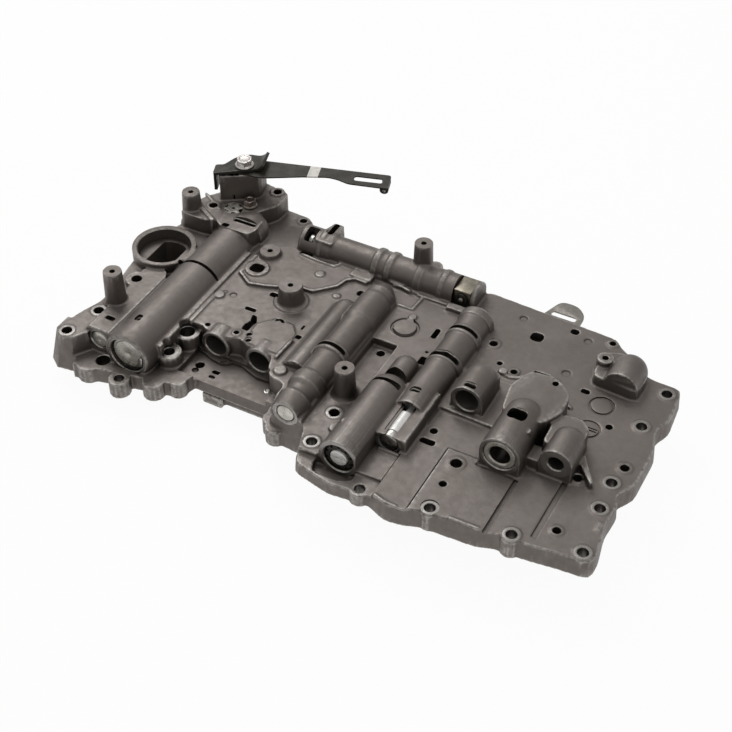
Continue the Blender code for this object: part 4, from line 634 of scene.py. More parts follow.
# Waisted forms: direction, place across it, axis height over the deck, radius, first end, and the steps
# from there as (distance, change of the radius)
WAISTED_FORMS = [
    ("Y", ACCUMULATOR["x"], ACCUMULATOR["axis"], ACCUMULATOR["radius"], ACCUMULATOR["front"],
     [(0, -1.6), (1.2, -0.8), (5, 0), (131, 0), (134, -1.5), (136, -4)]),
    ("Y", -21.5, 3, 11, -64,
     [(0, -2.2), (5, -1), (12, 0), (15, -1.6), (19, -1.4), (23, 0.6), (31, 0.6),
      (34, -0.8), (90, -0.6), (94, 0.5), (116, 0.3), (119, -0.8), (124, -0.5), (130, -3.5),
      (134, -6.5), (136, -9)]),
    ("X", MANUAL["y"], MANUAL["axis"], 11, -97,
     [(0, -1.5), (2, 0), (15, 0), (16.2, 0.9), (18.6, 0.9), (19.8, 0), (24, 0), (27, -1.2),
      (56, -1.2), (58, 0.6), (61, 0.6), (63, -0.8), (66, -0.8), (68, 0.8), (71, 0.8),
      (73, -0.6), (88, -0.4), (90, 0.8), (94, 0.8), (96, -0.2), (106, -0.2), (107.5, 0.7),
      (110, 0.7), (111.5, -0.2), (134, -0.2)]),
]
STEP_EDGE = [
    (-118, 60), (-118, 40.3), (-106.9, 32.9), (-95.3, 36), (-89, 38.5), (-78, 45), (-64.9, 46.1),
    (-53.3, 58.2), (-51.1, 66.6), (-45.7, 70.7), (-37.8, 70.1),
]
# Low ribs: points, width, top and foot over the deck
RIBS = [
    (STEP_EDGE, 2, 2.8, 0),
    ([(-9.8, -12), (-9.8, 27)], 2, -0.1, -8),
    ([(-121, -16), (-121, 14), (-117, 19)], 2.2, 1, -2),
    ([(-90.5, 76.3), (-77.8, 75.2), (-65.2, 75), (-61.9, 80), (-48.7, 79.6), (-36.3, 80), (-27.6, 79.6),
      (-16.9, 78), (-8, 76)], 2, 3.3, 0),
    ([(-53.2, -21), (-53, -14), (-52.4, -3)], 2, 2.6, 0),
    ([(102, -89.6), (119, -89.4)], 2, 1.8, 0),
    ([(56, -93.6), (63, -95.6), (70, -95.8)], 2, 0.8, -2),
    ([(-178, 92), (-160, 81)], 2, 14, 11),
    ([(29.6, -9), (30.4, 15)], 2.2, 2.2, -2),
    ([(-32.6, -22), (-32.6, 42)], 1.8, 1.6, -2),
    ([(-9, 62), (1, 62), (2, 76), (8, 77), (10, 79), (18, 78.5)], 1.8, 1.4, -2),
    ([(96, 30), (104, 31), (116, 32), (128, 25)], 2, 1.6, -2),
    ([(77, 34), (84, 33), (92, 36)], 2.6, 1.5, -2),
    ([(34.4, -12), (34.4, -52)], 1.4, 9.4, 0), ([(55.6, -12), (55.6, -54)], 1.4, 9.4, 0),
]
# Knobs and pads: x, y, radius, top and foot over the deck
KNOBS = [
    (-49.5, 50.5, 2.4, 1.2, -2), (-69.4, 63.3, 3.2, 3.1, 0), (-118.5, 14.5, 3.4, 1.7, -2),
    (78.5, 35, 2.6, 2.4, -2), (92, 36, 2.4, 2, -2), (10, -58.5, 3.4, 2.4, -2),
    (18.6, -61, 2.3, 14.4, 8), (119.4, -24, 2.2, 21.4, 10),
    (-109.5, 48.1, 8.2, 3.4, 0), (-73.2, 31.6, 11.4, 1.3, -2), (110, 42, 3.6, 0.9, -2),
    (129.5, 93, 3.8, 0.9, -2), (84.5, 38.5, 3.6, 1.2, -2), (62, 57, 4.6, 0.8, -2),
    (-88.5, -12, 3.2, 0.9, -2), (-110.3, 111.6, 4.6, 0.7, -2), (-165.9, 82.6, 5, 13.8, 11),
    (-134.4, 117.4, 5.2, 13.8, 11), (-167, 8, 9, 4, -2), (153.8, -26.5, 4.8, 0.9, -2),
    (87, -50, 5.6, 1.7, 0), (158.5, -69, 4, 0.7, -2), (175, -6, 4.6, 0.8, -2),
]
# Blocks: outline, foot and top over the deck
BLOCKS = [
    ([(-156, 70), (-150, 66), (-128, 66), (-125, 72), (-126, 84), (-156, 84)], -2, 13),
    ([(-84, 82), (-84, 92), (-80.5, 104.6), (-73, 104.6), (-71, 92), (-71, 82)], 0, 14),
    ([(-79.8, -17), (-81, 2), (-72, 11.5), (-60, 11.5), (-53.8, 4), (-53.4, -17)], -2, 1.1),
    ([(73, -8.7), (83.7, -8.7), (83.7, 19), (80, 21.5), (73, 21.5)], -2, 13.4),
    ([(110, -42.7), (122.7, -42.7), (122.7, 1), (110, 1)], 0, 12.6),
    ([(48, -29), (56.2, -29), (56.2, -8.5), (52, -8.5), (52, -3), (48, -3)], -2, 7),
]
PORT = {"x": -175.5, "y": 34.5, "outer": 22, "mouth": 18.4, "rim": 8, "step": 9}
# Tall bosses: x, y, height over the deck, top radius, base radius
TALL_BOSSES = [
    (-173.7, -24.5, 28, 6.2, 7.2), (-178.8, 75.1, 26, 6.2, 7.4), (-73.2, 31.6, 15, 7.9, 8.7),
    (0.3, -28, 22, 6.2, 7.2), (-7.9, 95.4, 30, 6.2, 7), (-110, 66, 6, 6.9, 7.6),
]
BOSS_FOOT = [(-SUNK, 1.8), (0.4, 1.6), (1.4, 0.6), (3, 0)]
BOSS_HOLE_R = 1.7
REAR_TRIM = (50, 77)  # stretch along Y where the top of the accumulator's form is cut off


def rear_trim():
    """What the CAD model has over the rear end of the accumulator's form, and the photograph doesn't."""
    x, z, r = ACCUMULATOR["x"], DECK + ACCUMULATOR["axis"], ACCUMULATOR["radius"]
    arc = [math.radians(20 + 5 * k) for k in range(21)]
    section = [(x + r * math.cos(t), z + r * math.sin(t)) for t in arc]
    section += [(section[-1][0], SKY), (section[0][0], SKY)]
    return prism(section, "Y", *REAR_TRIM)


def foot(x, radius, width, front, back):
    """The fillet along both sides of a round form, where it meets the deck."""
    half = [(radius + width, -SUNK), (radius + width, 0.2), (radius + 0.4, 0.9), (radius, FILLET_H)]
    section = [(x - half[0][0], DECK - SUNK)] + [(x + u, DECK + v) for u, v in half]
    section += [(x - u, DECK + v) for u, v in reversed(half[1:])]
    return prism(section, "Y", front, back)


def rib(points, width, top, low):
    """A low rib along a path, round at its bends and ends."""
    parts = [rod("Z", x, y, width / 2, DECK + low, DECK + top, sides=20) for x, y in points]
    for start, end in zip(points, points[1:]):
        a, b = Vector(start), Vector(end)
        side = Vector((a.y - b.y, b.x - a.x)).normalized() * width / 2
        outline = [tuple(p) for p in (a - side, b - side, b + side, a + side)]
        parts.append(prism(outline, "Z", DECK + low, DECK + top))
    return parts


def overlays():
    """Finer versions of the casting's round forms, laid over the faceted ones, with its ribs and knobs."""
    forms = [turned(direction, place, DECK + axis, stepped(first, radius, steps))
             for direction, place, axis, radius, first, steps in WAISTED_FORMS]
    forms += [prism(rounded(outline, 1.5), "Z", DECK + low, DECK + top) for outline, low, top in BLOCKS]
    for x, axis, radius, front, back, fillet in ROUND_FORMS:
        forms.append(turned("Y", x, DECK + axis, domed(front, back, radius)))
        if fillet:
            forms.append(foot(x, radius, fillet, front + 1, back - 0.8 * radius))
    for x, axis, radius, middle in COLLARS:
        forms.append(turned("Y", x, DECK + axis, stepped(middle, radius, COLLAR_STEPS)))
    for x, y, height, top_r, base_r in TALL_BOSSES:
        forms.append(turned("Z", x, y, stepped(DECK, base_r, BOSS_FOOT) + [(DECK + height, top_r)]))
    p = PORT
    low, high, inside = DECK - SUNK, DECK + p["rim"], p["mouth"] - 0.4
    section = [(low, inside), (low, p["outer"]), (high, p["outer"]), (high, inside)]
    forms.append(lathe("Z", p["x"], p["y"], section))
    for points, width, top, low in RIBS:
        forms += rib(points, width, top, low)
    for x, y, radius, top, low in KNOBS:
        forms.append(rod("Z", x, y, radius, DECK + low, DECK + top, sides=40))
    return forms


# The upper casting: crisp cuts

# Bores along Y: x, axis height over the deck, bore radius, mouth, end, radius of the mouth's machined face;
# the open ones are cast inside
BORES = [
    (-142, -5, 12.4, -60, 34, 14.2), (-167, -5.5, 6.3, -55, -2, 8.6), (-21.5, 3, 6.3, -64, 34, 9),
    (25, 3, 9.8, -81.5, -12, 13.4), (45, 3, 6.2, -56, 36, 8.4), (-99.5, -8.5, 7.6, -21.5, 10, 9.6),
    (-66.5, -8.5, 7.6, -21.5, 10, 9.6), (73.4, 10.5, 7.6, -9, 12, 10.2), (110.2, 12, 10.2, -43, -4, 12.9),
    (141.3, 11.5, 4.8, -33, -14, 9.8),
]
OPEN_BORES = [(-99.5, -8.5), (-66.5, -8.5), (73.4, 10.5), (141.3, 11.5)]
# Bolt holes: x, y, height of the face over the deck, hole radius, ring radius
BOLT_HOLES = [(x, y, 0.55, 3.2, 5.6) for x, y in (
    (175.7, 65.2), (171.7, 31.2), (172.4, -20.4), (173.7, -42), (177.4, -76.8), (137.4, -83.6),
    (88.4, -87.6), (3, -73.8), (3, -46.2), (-186.4, -62), (-180, -36.2),
)] + [(44.3, -90, -4, 3.2, 5.2), (-141.5, -70.5, -15, 3.2, 5.4), (-121, -21, -5.2, 4.9, 7.4),
      (-122, -41, -7.2, 3.4, 6.4)]
# Oil holes: x, y, radius, height of the face over the deck
LEDGE_FLOOR = -18.6
OIL_HOLES = [
    (-110.3, 111.6, 2.4, 0.6), (-109.6, -13.5, 1.6, 0), (-80.5, -9.2, 1.8, 0), (-78, -14.5, 1.7, 0),
    (-88.5, -12, 1.7, 0.8), (-0.5, 20.8, 2.6, -6), (63, -31, 2.3, 0), (73, 42.5, 1.7, 0),
    (84.5, 38.5, 2.1, 1), (62, 57, 2.5, 0.6), (153.8, -26.5, 2.7, 0.8), (154.5, 22, 2.1, 0),
    (110, 42, 1.8, 0.8), (87, -50, 3.4, 1.6), (158.5, -69, 2.4, 0.6), (87, -68, 2.2, 1.2),
    (175, -6, 2.6, 0.7), (129.5, 93, 2, 0.8), (-174.3, -0.5, 3.4, 4), (-165.9, 82.6, 2.8, 13.7),
    (-134.4, 117.4, 2.8, 13.7), (-160.5, -61.5, 4.6, -15), (-105, -32.5, 2.8, LEDGE_FLOOR),
    (133.6, 66, 1.9, 12), (118, 21.5, 1.9, 20), (27.8, 30, 0.9, 0),
]
# Windows: x, y, width, length, height of the face over the deck
WINDOWS = [
    (-85.5, 32.5, 8.4, 3.8, 0), (-93, 12.6, 7.6, 3, 0), (84, 76.5, 8.4, 8, 0),
    (103.6, 92.8, 5.4, 4.6, 0), (130.4, 44, 5.4, 3.6, 0), (25, 48.6, 3.2, 9.6, 0), (-37, 61.2, 4.4, 5, 0),
    (-51.6, 3.6, 3.8, 3.4, 0), (-109.5, 48.1, 9.4, 8.8, 3.3), (63.5, -40.8, 9.6, 4, 0),
    (-136.4, 76.6, 17, 3, 12.5), (-166, -42, 6.6, 3.4, 4), (-144, -40, 3, 5, 9),
    (-92, -33.5, 5, 2.8, LEDGE_FLOOR), (109.7, -17.3, 11.6, 8.4, 24), (73.6, -4.8, 7, 3.6, 20),
    (43.2, -17, 6, 3.6, 11.5), (-159.2, 97.2, 6, 3.6, 13), (-146.8, 68.2, 5, 3.5, 13),
    (-39.5, 3, 3.4, 3.2, 0), (-53.5, 13, 1.2, 4.2, 0),
]
# Windows with an outline of their own, as the photograph shows them: points in the deck plane, height
SHAPED_WINDOWS = [
    ([(-88.8, 8.6), (-85.6, 8.2), (-82.4, 2.6), (-83.6, 0.6), (-83.4, -6.8), (-88.2, -6.6), (-88.6, -1),
      (-86.6, 1.6)], 0),
    ([(-73.6, 9.8), (-70.6, 13.6), (-68.6, 13.6), (-65.6, 10.8), (-67, 9.8), (-69.4, 11.4), (-71.8, 9.2)], 0),
    ([(95.3, 40), (97.9, 40), (97.9, 44.8), (105.8, 44.8), (105.8, 46.8), (95.3, 46.6)], 0),
    ([(9.6, 0.6), (9.6, 4.4), (17, 8.4), (19.6, 8), (26.6, 4.9), (27, 1)], 8),
    ([(31, 30.4), (31.4, 33.2), (39, 36.2), (47.6, 33.2), (47.6, 30.4)], 13),
    ([(26.6, 18), (27, 25), (32, 25.4), (32.4, 18.2)], 0),
]
CHANNEL_DEPTH = 6.2
# Curved slits over round forms: x, axis height, inner and outer radius, half angle, place along Y, and their
# width at the left and right end; SLIT_ENDS narrows the last steps
SLIT_ENDS = {0: 0.6, 1: 0.9}
SLITS = [
    (-142, -5, 13.4, 20, 66, 25, 2.6, 2.6), (-21.5, 3, 7.3, 14, 56, -6.5, 3, 3.4),
    (25, 3, 9.5, 16.2, 44, -20, 2.6, 5), (45, 3, 7.2, 14, 56, 18.8, 3.8, 3.8),
    (45, 3, 7.2, 14, 56, 46.8, 3, 3),
]
# Shallow grooves in the deck: x0, x1, y0, y1, face, depth
GROOVES = [
    (76.7, 77.5, -94, -41, 1.2, 1.6), (121.9, 124.5, -96, -45, 1.2, 1.9),
    (147, 150.5, -79.5, -33.3, 0, 1.3), (53.6, 54.4, -95, -57.5, 0, 1.4),
]
# Rings cast into the deck (x, y, radius), and the two bars inside the second one as (y0, y1) from its middle
RING_MARKS = [(144, 37, 8), (144, 14.5, 7.6)]
RING_BARS = [(-1.4, -0.4), (0.6, 1.6)]
# Round groove of the deck: x, y, inner and outer radius
DISC_GROOVE = (5, 44, 8.1, 9.1)
DIMPLES = [(69, 89.5, 2.8), (114.5, 88.5, 2.9), (113.5, 54, 3), (-111, 20, 2.5)]
# Wall of the casting behind the low ledge, and how deep the space in front of it goes, in two cuts:
# y of the cut's other side, foot and top over the deck
LEDGE_INNER = [
    (-112.8, -21.6), (-107, -23), (-100.7, -25.4), (-92.9, -26.6), (-88.3, -24.5), (-86.1, -22),
    (-79.7, -21.9), (-73.5, -24.2), (-65.8, -26.8), (-59.3, -26.6), (-55.6, -26), (-47.6, -24.9),
]
LEDGE_CUTS = [(-21.5, -16.7, -13), (-46.5, LEDGE_FLOOR, -13)]
# Pockets that open the manual bore from above: x0, x1, y0, y1
MANUAL_POCKETS = [(-92.4, -84.9, 81.5, 92.8), (21, 34, 77.5, 98)]
LOBE_SLOT = (-77.75, 97.4, 3.6, 13.6, 0.48)
LOBE_TOP = 14
# Window over the right spool: x, y, width, length, and height of its rim over the deck
RIGHT_WINDOW = (45, -39.5, 5.4, 21.3, 9)
REGULATOR_FLAT = (36.7, 40.2, -83, -56.2, DECK - 1.5, DECK + 13)
CUT_LIFT = 2            # how far a shallow cutter stands over the face it cuts


def bore_cutter(x, axis, radius, mouth, end, face):
    """A bore with its machined face and broken edge."""
    r = radius + 0.05
    seat = mouth + 0.3
    profile = [(mouth - CUT_LIFT, face), (seat, face), (seat, r + 0.7), (mouth + 1, r), (end, r)]
    wall = SKIN if (x, axis) in OPEN_BORES else WALL
    return turned("Y", x, DECK + axis, profile, CUTTER_SKINS, BORE_SIDES, [SKIN, FACE, RIM, wall])


def hole_cutter(x, y, top, radius, depth, lift, ring=None, face=SKIN):
    """An upright hole with a broken edge and, where it has one, a flat ring round it."""
    r = radius + OPENED
    steps = [(-depth, 0), (-0.3, 0), (0, 0.3)]
    steps += [(0, ring - r), (lift, ring - r)] if ring else [(0.3, 0.6), (lift, 0.6)]
    bands = [WALL, RIM, face if ring else RIM, SKIN]
    return turned("Z", x, y, stepped(DECK + top, r, steps), CUTTER_SKINS, HOLE_SIDES, bands)


def window_cutter(outline, top, depth=CHANNEL_DEPTH, lift=4.6):
    """An upright cut with the given outline and a broken edge."""
    inner, outer = grown(outline, OPENED), grown(outline, OPENED + 0.5)
    top += DECK
    levels = [(top - depth, inner), (top - 0.25, inner), (top + 0.25, outer), (top + lift, outer)]
    return loft(levels, CUTTER_SKINS, [WALL, RIM, SKIN])


def slit_cutter(x, axis, inner, outer, half_angle, middle, left, right, steps=24):
    """A curved slit over the top of a round form, whose width changes from its left to its right end."""
    rings = []
    for k in range(steps + 1):
        angle = math.radians(90 + half_angle - 2 * half_angle * k / steps)
        narrowed = SLIT_ENDS.get(min(k, steps - k), 1)
        half = (left + (right - left) * (k / steps) ** 3) * narrowed / 2
        c, s = math.cos(angle), math.sin(angle)
        rings.append([(x + r * c, middle + y, DECK + axis + r * s)
                      for r, y in ((inner, -half), (outer, -half), (outer, half), (inner, half))])
    return rings_solid(rings, CUTTER_SKINS, [WALL] * steps)


def shallow_cutters():
    """Cutters for the grooves, ring marks and dimples of the deck."""
    high = DECK + CUT_LIFT
    cuts = [box(x0, x1, y0, y1, DECK + top - depth, DECK + top + CUT_LIFT, CUTTER_SKINS, SKIN)
            for x0, x1, y0, y1, top, depth in GROOVES]
    for x, y, radius in RING_MARKS:
        low = DECK - 0.9
        section = [(low, radius - 1.3), (low, radius), (high, radius + 0.2), (high, radius - 1.5)]
        cuts.append(lathe("Z", x, y, section, CUTTER_SKINS, 48, SKIN))
    x, y, radius = RING_MARKS[-1]
    cuts += [box(x - 5.4, x + 5.4, y + y0, y + y1, DECK - 0.7, high, CUTTER_SKINS, SKIN)
             for y0, y1 in RING_BARS]
    x, y, inner, outer = DISC_GROOVE
    section = [(DECK - 0.8, inner), (DECK - 0.8, outer), (DECK + 1, outer + 0.9), (DECK + 1, inner - 0.9)]
    cuts.append(lathe("Z", x, y, section, CUTTER_SKINS, 48, SKIN))
    for x, y, radius in DIMPLES:
        profile = stepped(DECK, radius, [(-1, -0.6), (1.5, 0.6)])
        cuts.append(turned("Z", x, y, profile, CUTTER_SKINS, HOLE_SIDES, [SKIN]))
    return cuts


def hole_cutters():
    """Bolt holes with machined rings, holes of the tall bosses, and oil holes."""
    holes = [hole_cutter(x, y, top, radius, 40 if top > -3 else 12, 2.6, ring, FACE)
             for x, y, top, radius, ring in BOLT_HOLES]
    holes += [hole_cutter(x, y, height - 0.35, BOSS_HOLE_R, 9.5, 2.6, top_r + 1.2)
              for x, y, height, top_r, _ in TALL_BOSSES]
    return holes + [hole_cutter(x, y, top, radius, CHANNEL_DEPTH, 2.8) for x, y, radius, top in OIL_HOLES]


def window_cutters():
    """The windows of the deck and of the round forms."""
    windows = [window_cutter(slot_outline(*place), top) for *place, top in WINDOWS]
    for points, top in SHAPED_WINDOWS:
        windows.append(window_cutter(rounded([seen(*point, top) for point in points], 0.9, 3), top))
    return windows


def pocket_cutters():
    """The pockets that open the manual bore and the right bore from above, and the slot of the lobe."""
    floor = DECK + MANUAL["axis"] - MANUAL["bore"] - 0.1
    pockets = []
    for corners in MANUAL_POCKETS:
        outline = rounded(rectangle(*corners), 1.4, 4)
        levels = [(floor, grown(outline, OPENED)), (DECK + 8, grown(outline, OPENED)),
                  (SKY, grown(outline, OPENED + 0.4))]
        pockets.append(loft(levels, CUTTER_SKINS, [WALL, SKIN]))
    pockets.append(window_cutter(slot_outline(*LOBE_SLOT), LOBE_TOP, LOBE_TOP, 4))
    x, y, width, length, _ = RIGHT_WINDOW
    outline = slot_outline(x, y, width + 2 * OPENED, length, 0.12)
    pockets.append(prism(outline, "Z", DECK + 3, SKY, CUTTER_SKINS, WALL))
    return pockets


def right_rim_cutter():
    """The sunk rim round the window over the right spool."""
    x, y, width, length, top = RIGHT_WINDOW
    levels = [(DECK + top - 0.6, slot_outline(x, y, 9.4, 25, 0.10)),
              (DECK + top + CUT_LIFT, slot_outline(x, y, 10, 25.6, 0.10))]
    return loft(levels, CUTTER_SKINS, [SKIN])


def port_cutter():
    """The mouth of the fluid port, with the face and broken edge of its rim."""
    p, top = PORT, DECK + PORT["rim"] - 0.3
    mouth, past = p["mouth"], p["outer"] + 1
    profile = [(top - p["step"], mouth), (top - 0.7, mouth), (top, mouth + 0.7), (top, past),
               (top + CUT_LIFT, past)]
    return turned("Z", p["x"], p["y"], profile, CUTTER_SKINS, FORM_SIDES, [SKIN, RIM, SKIN, SKIN])


def crisp_cuts():
    """All cutters for what is machined into the casting, in batches whose cutters don't touch."""
    m, left, right = MANUAL, LEDGE_INNER[0][0], LEDGE_INNER[-1][0]
    ledges = [[prism(LEDGE_INNER + [(right, y), (left, y)], "Z", DECK + low, DECK + top, CUTTER_SKINS, SKIN)]
              for y, low, top in LEDGE_CUTS]
    cross_bore = rod("X", m["y"], DECK + m["axis"], m["bore"], m["bore_left"], m["bore_right"], CUTTER_SKINS)
    return [
        [box(*REGULATOR_FLAT, CUTTER_SKINS, SKIN)], *ledges, shallow_cutters(), [right_rim_cutter()],
        [port_cutter()], [bore_cutter(*bore) for bore in BORES], hole_cutters(), window_cutters(),
        pocket_cutters(), [slit_cutter(*slit) for slit in SLITS], [cross_bore],
    ]


def upper_casting():
    """The upper casting as one soft-edged body with crisp machined places."""
    body = joined(cut(copy_of("upper_casting"), [rear_trim()]), overlays())
    soft_casting(body, CAST, *UPPER_GRAIN)
    for batch in crisp_cuts():
        cut(body, [joined(batch[0], batch[1:])])
    stand_for(shade(body, SOFT_SHARP), "upper_casting")


# The lower casting

UNDER_BOLTS = [(-86, 66), (-86, -14), (20, 70), (140, 46), (142, -40), (20, -44)]
UNDER_BOLT_SEAT = 6.2
# Counterbore and hole of an under bolt: height, radius, and the finish of each stretch
COUNTERBORE = [(-2, 8.2), (0, 8.2), (0.5, 7.75), (6.25, 7.75), (6.25, 3.3), (8.5, 3.3)]
COUNTERBORE_BANDS = [RIM, RIM, WALL, FACE, WALL]


def lower_casting():
    """The lower casting as one soft-edged body with crisp counterbores."""
    body = soft_casting(copy_of("lower_casting"), CAST_LOWER, *LOWER_GRAIN)
    cuts = [turned("Z", x, y, COUNTERBORE, CUTTER_SKINS, BORE_SIDES, COUNTERBORE_BANDS)
            for x, y in UNDER_BOLTS]
    cut(body, [joined(cuts[0], cuts[1:])])
    stand_for(shade(body, SOFT_SHARP), "lower_casting")


# Valves, plugs and springs

RUNNING = 0.35            # between a spool, plug or piston and the wall of its bore
GAP = 0.3                 # between two pieces of a valve train
WAIST = 0.55              # waist of a spool as a share of its radius
PLUG_FRONT, PLUG_BACK = 0.6, 6.2
RIGHT_LANDS = [(0, 17.6), (26, 38), (47.5, 59.5)]
MANUAL_LANDS = [(0, 3), (6, 30), (46, 62), (74, 84)]
MANUAL_START, MANUAL_WAIST = -91, 3.4
PISTON = 28
REGULATOR = {"x": 25, "axis": 3, "bore": 9.8, "front": -80, "sleeve": 8, "bore_end": -12, "spool": 38}
NOTCHES = 10
# Stop of the manual valve: middle and half width along X, front and back along Y, pin over the valve's axis
STOP = {"x": 27.5, "half": 6.2, "front": 82, "back": 97.7, "pin": 1.5}
# Valves along Y: name, x, axis height over the deck, bore radius, mouth, spool length, bore end, travel
VALVES = [
    ("side", -167, -5.5, 6.3, -55, 18.5, -2, 5), ("centre", -21.5, 3, 6.3, -64, 65.5, 34, 5),
    ("right", 45, 3, 6.2, -56, 59.5, 36, 5),
]
OIL_GROOVE = [(-0.35, 0), (-0.25, -0.35), (0.25, -0.35), (0.35, 0)]
WIRE_R = 0.6
SPRING_TURNS = 5
CLIP_EYES = (-106, -82)    # places of the end plate clip's eyes, degrees
CLIP_EYE_PLACE = 8.9
# Small pieces: x, z of the axis and front of the sleeve; x, y and height of the seat of the two plugs
RINGED_BORE = (110.2, DECK + 12, -43 + 0.8)
STAR_PLUG = (-151.8, 86.4, DECK + 13)
LEDGE_PLUG = (-53.8, -32.9, DECK + LEDGE_FLOOR + 0.4)


def lands_profile(lands, start, radius, waist, grooved=True):
    """Profile of a spool: lands with broken edges and two fine oil grooves each, with waists between them."""
    profile = []
    for a, b in lands:
        first, last = start + a, start + b
        profile += [(first, waist), (first, radius - 0.3), (first + 0.3, radius)]
        if grooved and b - a > 7:
            for share in (0.33, 0.67):
                profile += stepped(first + share * (b - a), radius, OIL_GROOVE)
        profile += [(last - 0.3, radius), (last, radius - 0.3), (last, waist)]
    return profile[1:-1]


def even_lands(length, count=3):
    """Equal lands over a length, with waists of the same length between them."""
    pitch = length / (2 * count - 1)
    return [(2 * i * pitch, (2 * i + 1) * pitch) for i in range(count)]


def spring(node, x, axis, radius, start, end):
    """A round wire coil along Y."""
    per_turn, sides = 28, 10
    count = SPRING_TURNS * per_turn
    bm = bmesh.new()
    rings = []
    for i in range(count + 1):
        angle = 2 * math.pi * i / per_turn
        w = start + WIRE_R + (end - start - 2 * WIRE_R) * i / count
        ring = []
        for k in range(sides):
            turn = 2 * math.pi * k / sides
            reach = radius + WIRE_R * math.cos(turn)
            u, v = x + math.cos(angle) * reach, DECK + axis + math.sin(angle) * reach
            ring.append(bm.verts.new(along("Y", u, v, w + WIRE_R * math.sin(turn))))
        rings.append(ring)
    for ring, following in zip(rings, rings[1:]):
        strip(bm, ring, following, 0)
    bm.faces.new(rings[0])
    bm.faces.new(rings[-1])
    made = stand_for(shade(mesh_piece("spring", bm, [STEEL]), 60), node)
    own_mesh(made)


def valve_sets():
    """Plug, spool and return spring of the three bores that are plugged at their mouths."""
    for prefix, x, axis, bore_r, mouth, length, end, travel in VALVES:
        right = prefix == "right"
        z, r = DECK + axis, bore_r - RUNNING
        front, back = mouth + PLUG_FRONT, mouth + PLUG_BACK
        profile = [(front + 0.2, 0.4), (front, 1), (front, r - 0.8), (front + 0.25, r - 0.3),
                   (front + 0.7, r), (back - 0.4, r), (back, r - 0.4)]
        turned_piece(prefix + "_plug", "Y", x, z, profile, [STEEL] if right else None)
        start = back + GAP
        lands = RIGHT_LANDS if right else even_lands(length)
        profile = lands_profile(lands, start, r, WAIST * r, grooved=not right)
        turned_piece(prefix + "_spool", "Y", x, z, profile, [WHITE_SHEEN if right else STEEL])
        spring(prefix + "_spring", x, axis, r - 2 * WIRE_R, start + length + GAP, end - GAP)


def open_ring(x, z, inner, outer, first, last, y0, y1, mats, steps=40):
    """A flat ring across Y that is open between its first and last angle (degrees)."""
    angles = [math.radians(first + (last - first) * k / steps) for k in range(steps + 1)]
    section = [(x + outer * math.cos(a), z + outer * math.sin(a)) for a in angles]
    section += [(x + inner * math.cos(a), z + inner * math.sin(a)) for a in reversed(angles)]
    return prism(section, "Y", y0, y1, mats)


def accumulator():
    """End plate with its retaining clip, spring and piston of the accumulator."""
    a = ACCUMULATOR
    x, z, r = a["x"], DECK + a["axis"], a["bore"] - RUNNING
    front = a["front"] + 2.6
    profile = [(front + 0.3, 0.6), (front, 1.4), (front, r - 2.2), (front + 0.5, r - 1.7),
               (front + 0.5, r - 0.5), (front + 0.9, r), (front + 4, r)]
    turned_piece("accumulator_end_plate", "Y", x, z, profile, [BRIGHT])
    back = front - GAP
    clip = open_ring(x, z, r - 3.6, r - 0.6, -112, 8, back - 1.2, back, [STEEL])
    for angle in CLIP_EYES:
        turn = math.radians(angle)
        u, v = x + CLIP_EYE_PLACE * math.cos(turn), z + CLIP_EYE_PLACE * math.sin(turn)
        cut(clip, [rod("Y", u, v, 1.7, back - 1.2, back, [STEEL], 32)], "UNION", "EXACT")
        cut(clip, [rod("Y", u, v, 0.7, back - 3, back + 1, [STEEL], 20)], solver="EXACT")
    stand_for(shade(bevelled(clip, 0.2), STAMPED_SHARP), "accumulator_clip")
    end = a["bore_end"] - GAP
    start = end - PISTON
    profile = [(start + 3, 4), (start + 3, r - 4), (start, r - 3.4), (start, r - 0.5), (start + 0.6, r)]
    for w in (start + 6, start + 20):
        profile += [(w, r), (w, r - 0.9), (w + 2.2, r - 0.9), (w + 2.2, r)]
    profile += [(end - 0.8, r), (end, r - 0.8)]
    turned_piece("accumulator_piston", "Y", x, z, profile, [STEEL])
    low = front + 4.3
    spring("accumulator_spring", x, a["axis"], r - 4, low, start - GAP)


def regulator():
    """Slotted adjuster in its dark notched sleeve, with the spring and the spool behind it."""
    g = REGULATOR
    x, z, r, front = g["x"], DECK + g["axis"], g["bore"] - RUNNING, g["front"]
    back = front + g["sleeve"]
    section = [(front + 0.4, 6), (front, 6.4), (front, r - 1), (front + 0.8, r), (back, r), (back, 6)]
    sleeve = lathe("Y", x, z, section, [BLACK])
    notches = []
    for k in range(NOTCHES):
        angle = math.radians((k + 0.5) * 360 / NOTCHES)
        c, s = math.cos(angle), math.sin(angle)
        corners = ((7.4, -0.8), (r + 1, -1.1), (r + 1, 1.1), (7.4, 0.8))
        outline = [(x + c * q - s * w, z + s * q + c * w) for q, w in corners]
        notches.append(prism(outline, "Y", front - 1, front + 2.2, [BLACK]))
    cut(sleeve, notches, solver="EXACT")
    stand_for(shade(sleeve, SMALL_SHARP), "regulator_sleeve")
    first = front - 0.8
    last = first + 10.3
    adjuster = turned("Y", x, z, [(first, 5.2), (first + 0.4, 5.6), (last, 5.6)], [WHITE_SHEEN])
    slot = box(x - 9, x + 9, first - 1, first + 1, z - 0.5, z + 0.5, [WHITE_SHEEN])
    cut(adjuster, [slot], solver="EXACT")
    stand_for(shade(bevelled(adjuster, 0.12), SMALL_SHARP), "regulator_adjuster")
    start = g["bore_end"] - GAP - g["spool"]
    low = last + GAP
    spring("regulator_spring", x, g["axis"], 5, low, start - GAP)
    profile = lands_profile(even_lands(g["spool"]), start, r, WAIST * r)
    turned_piece("regulator_spool", "Y", x, z, profile, [STEEL])


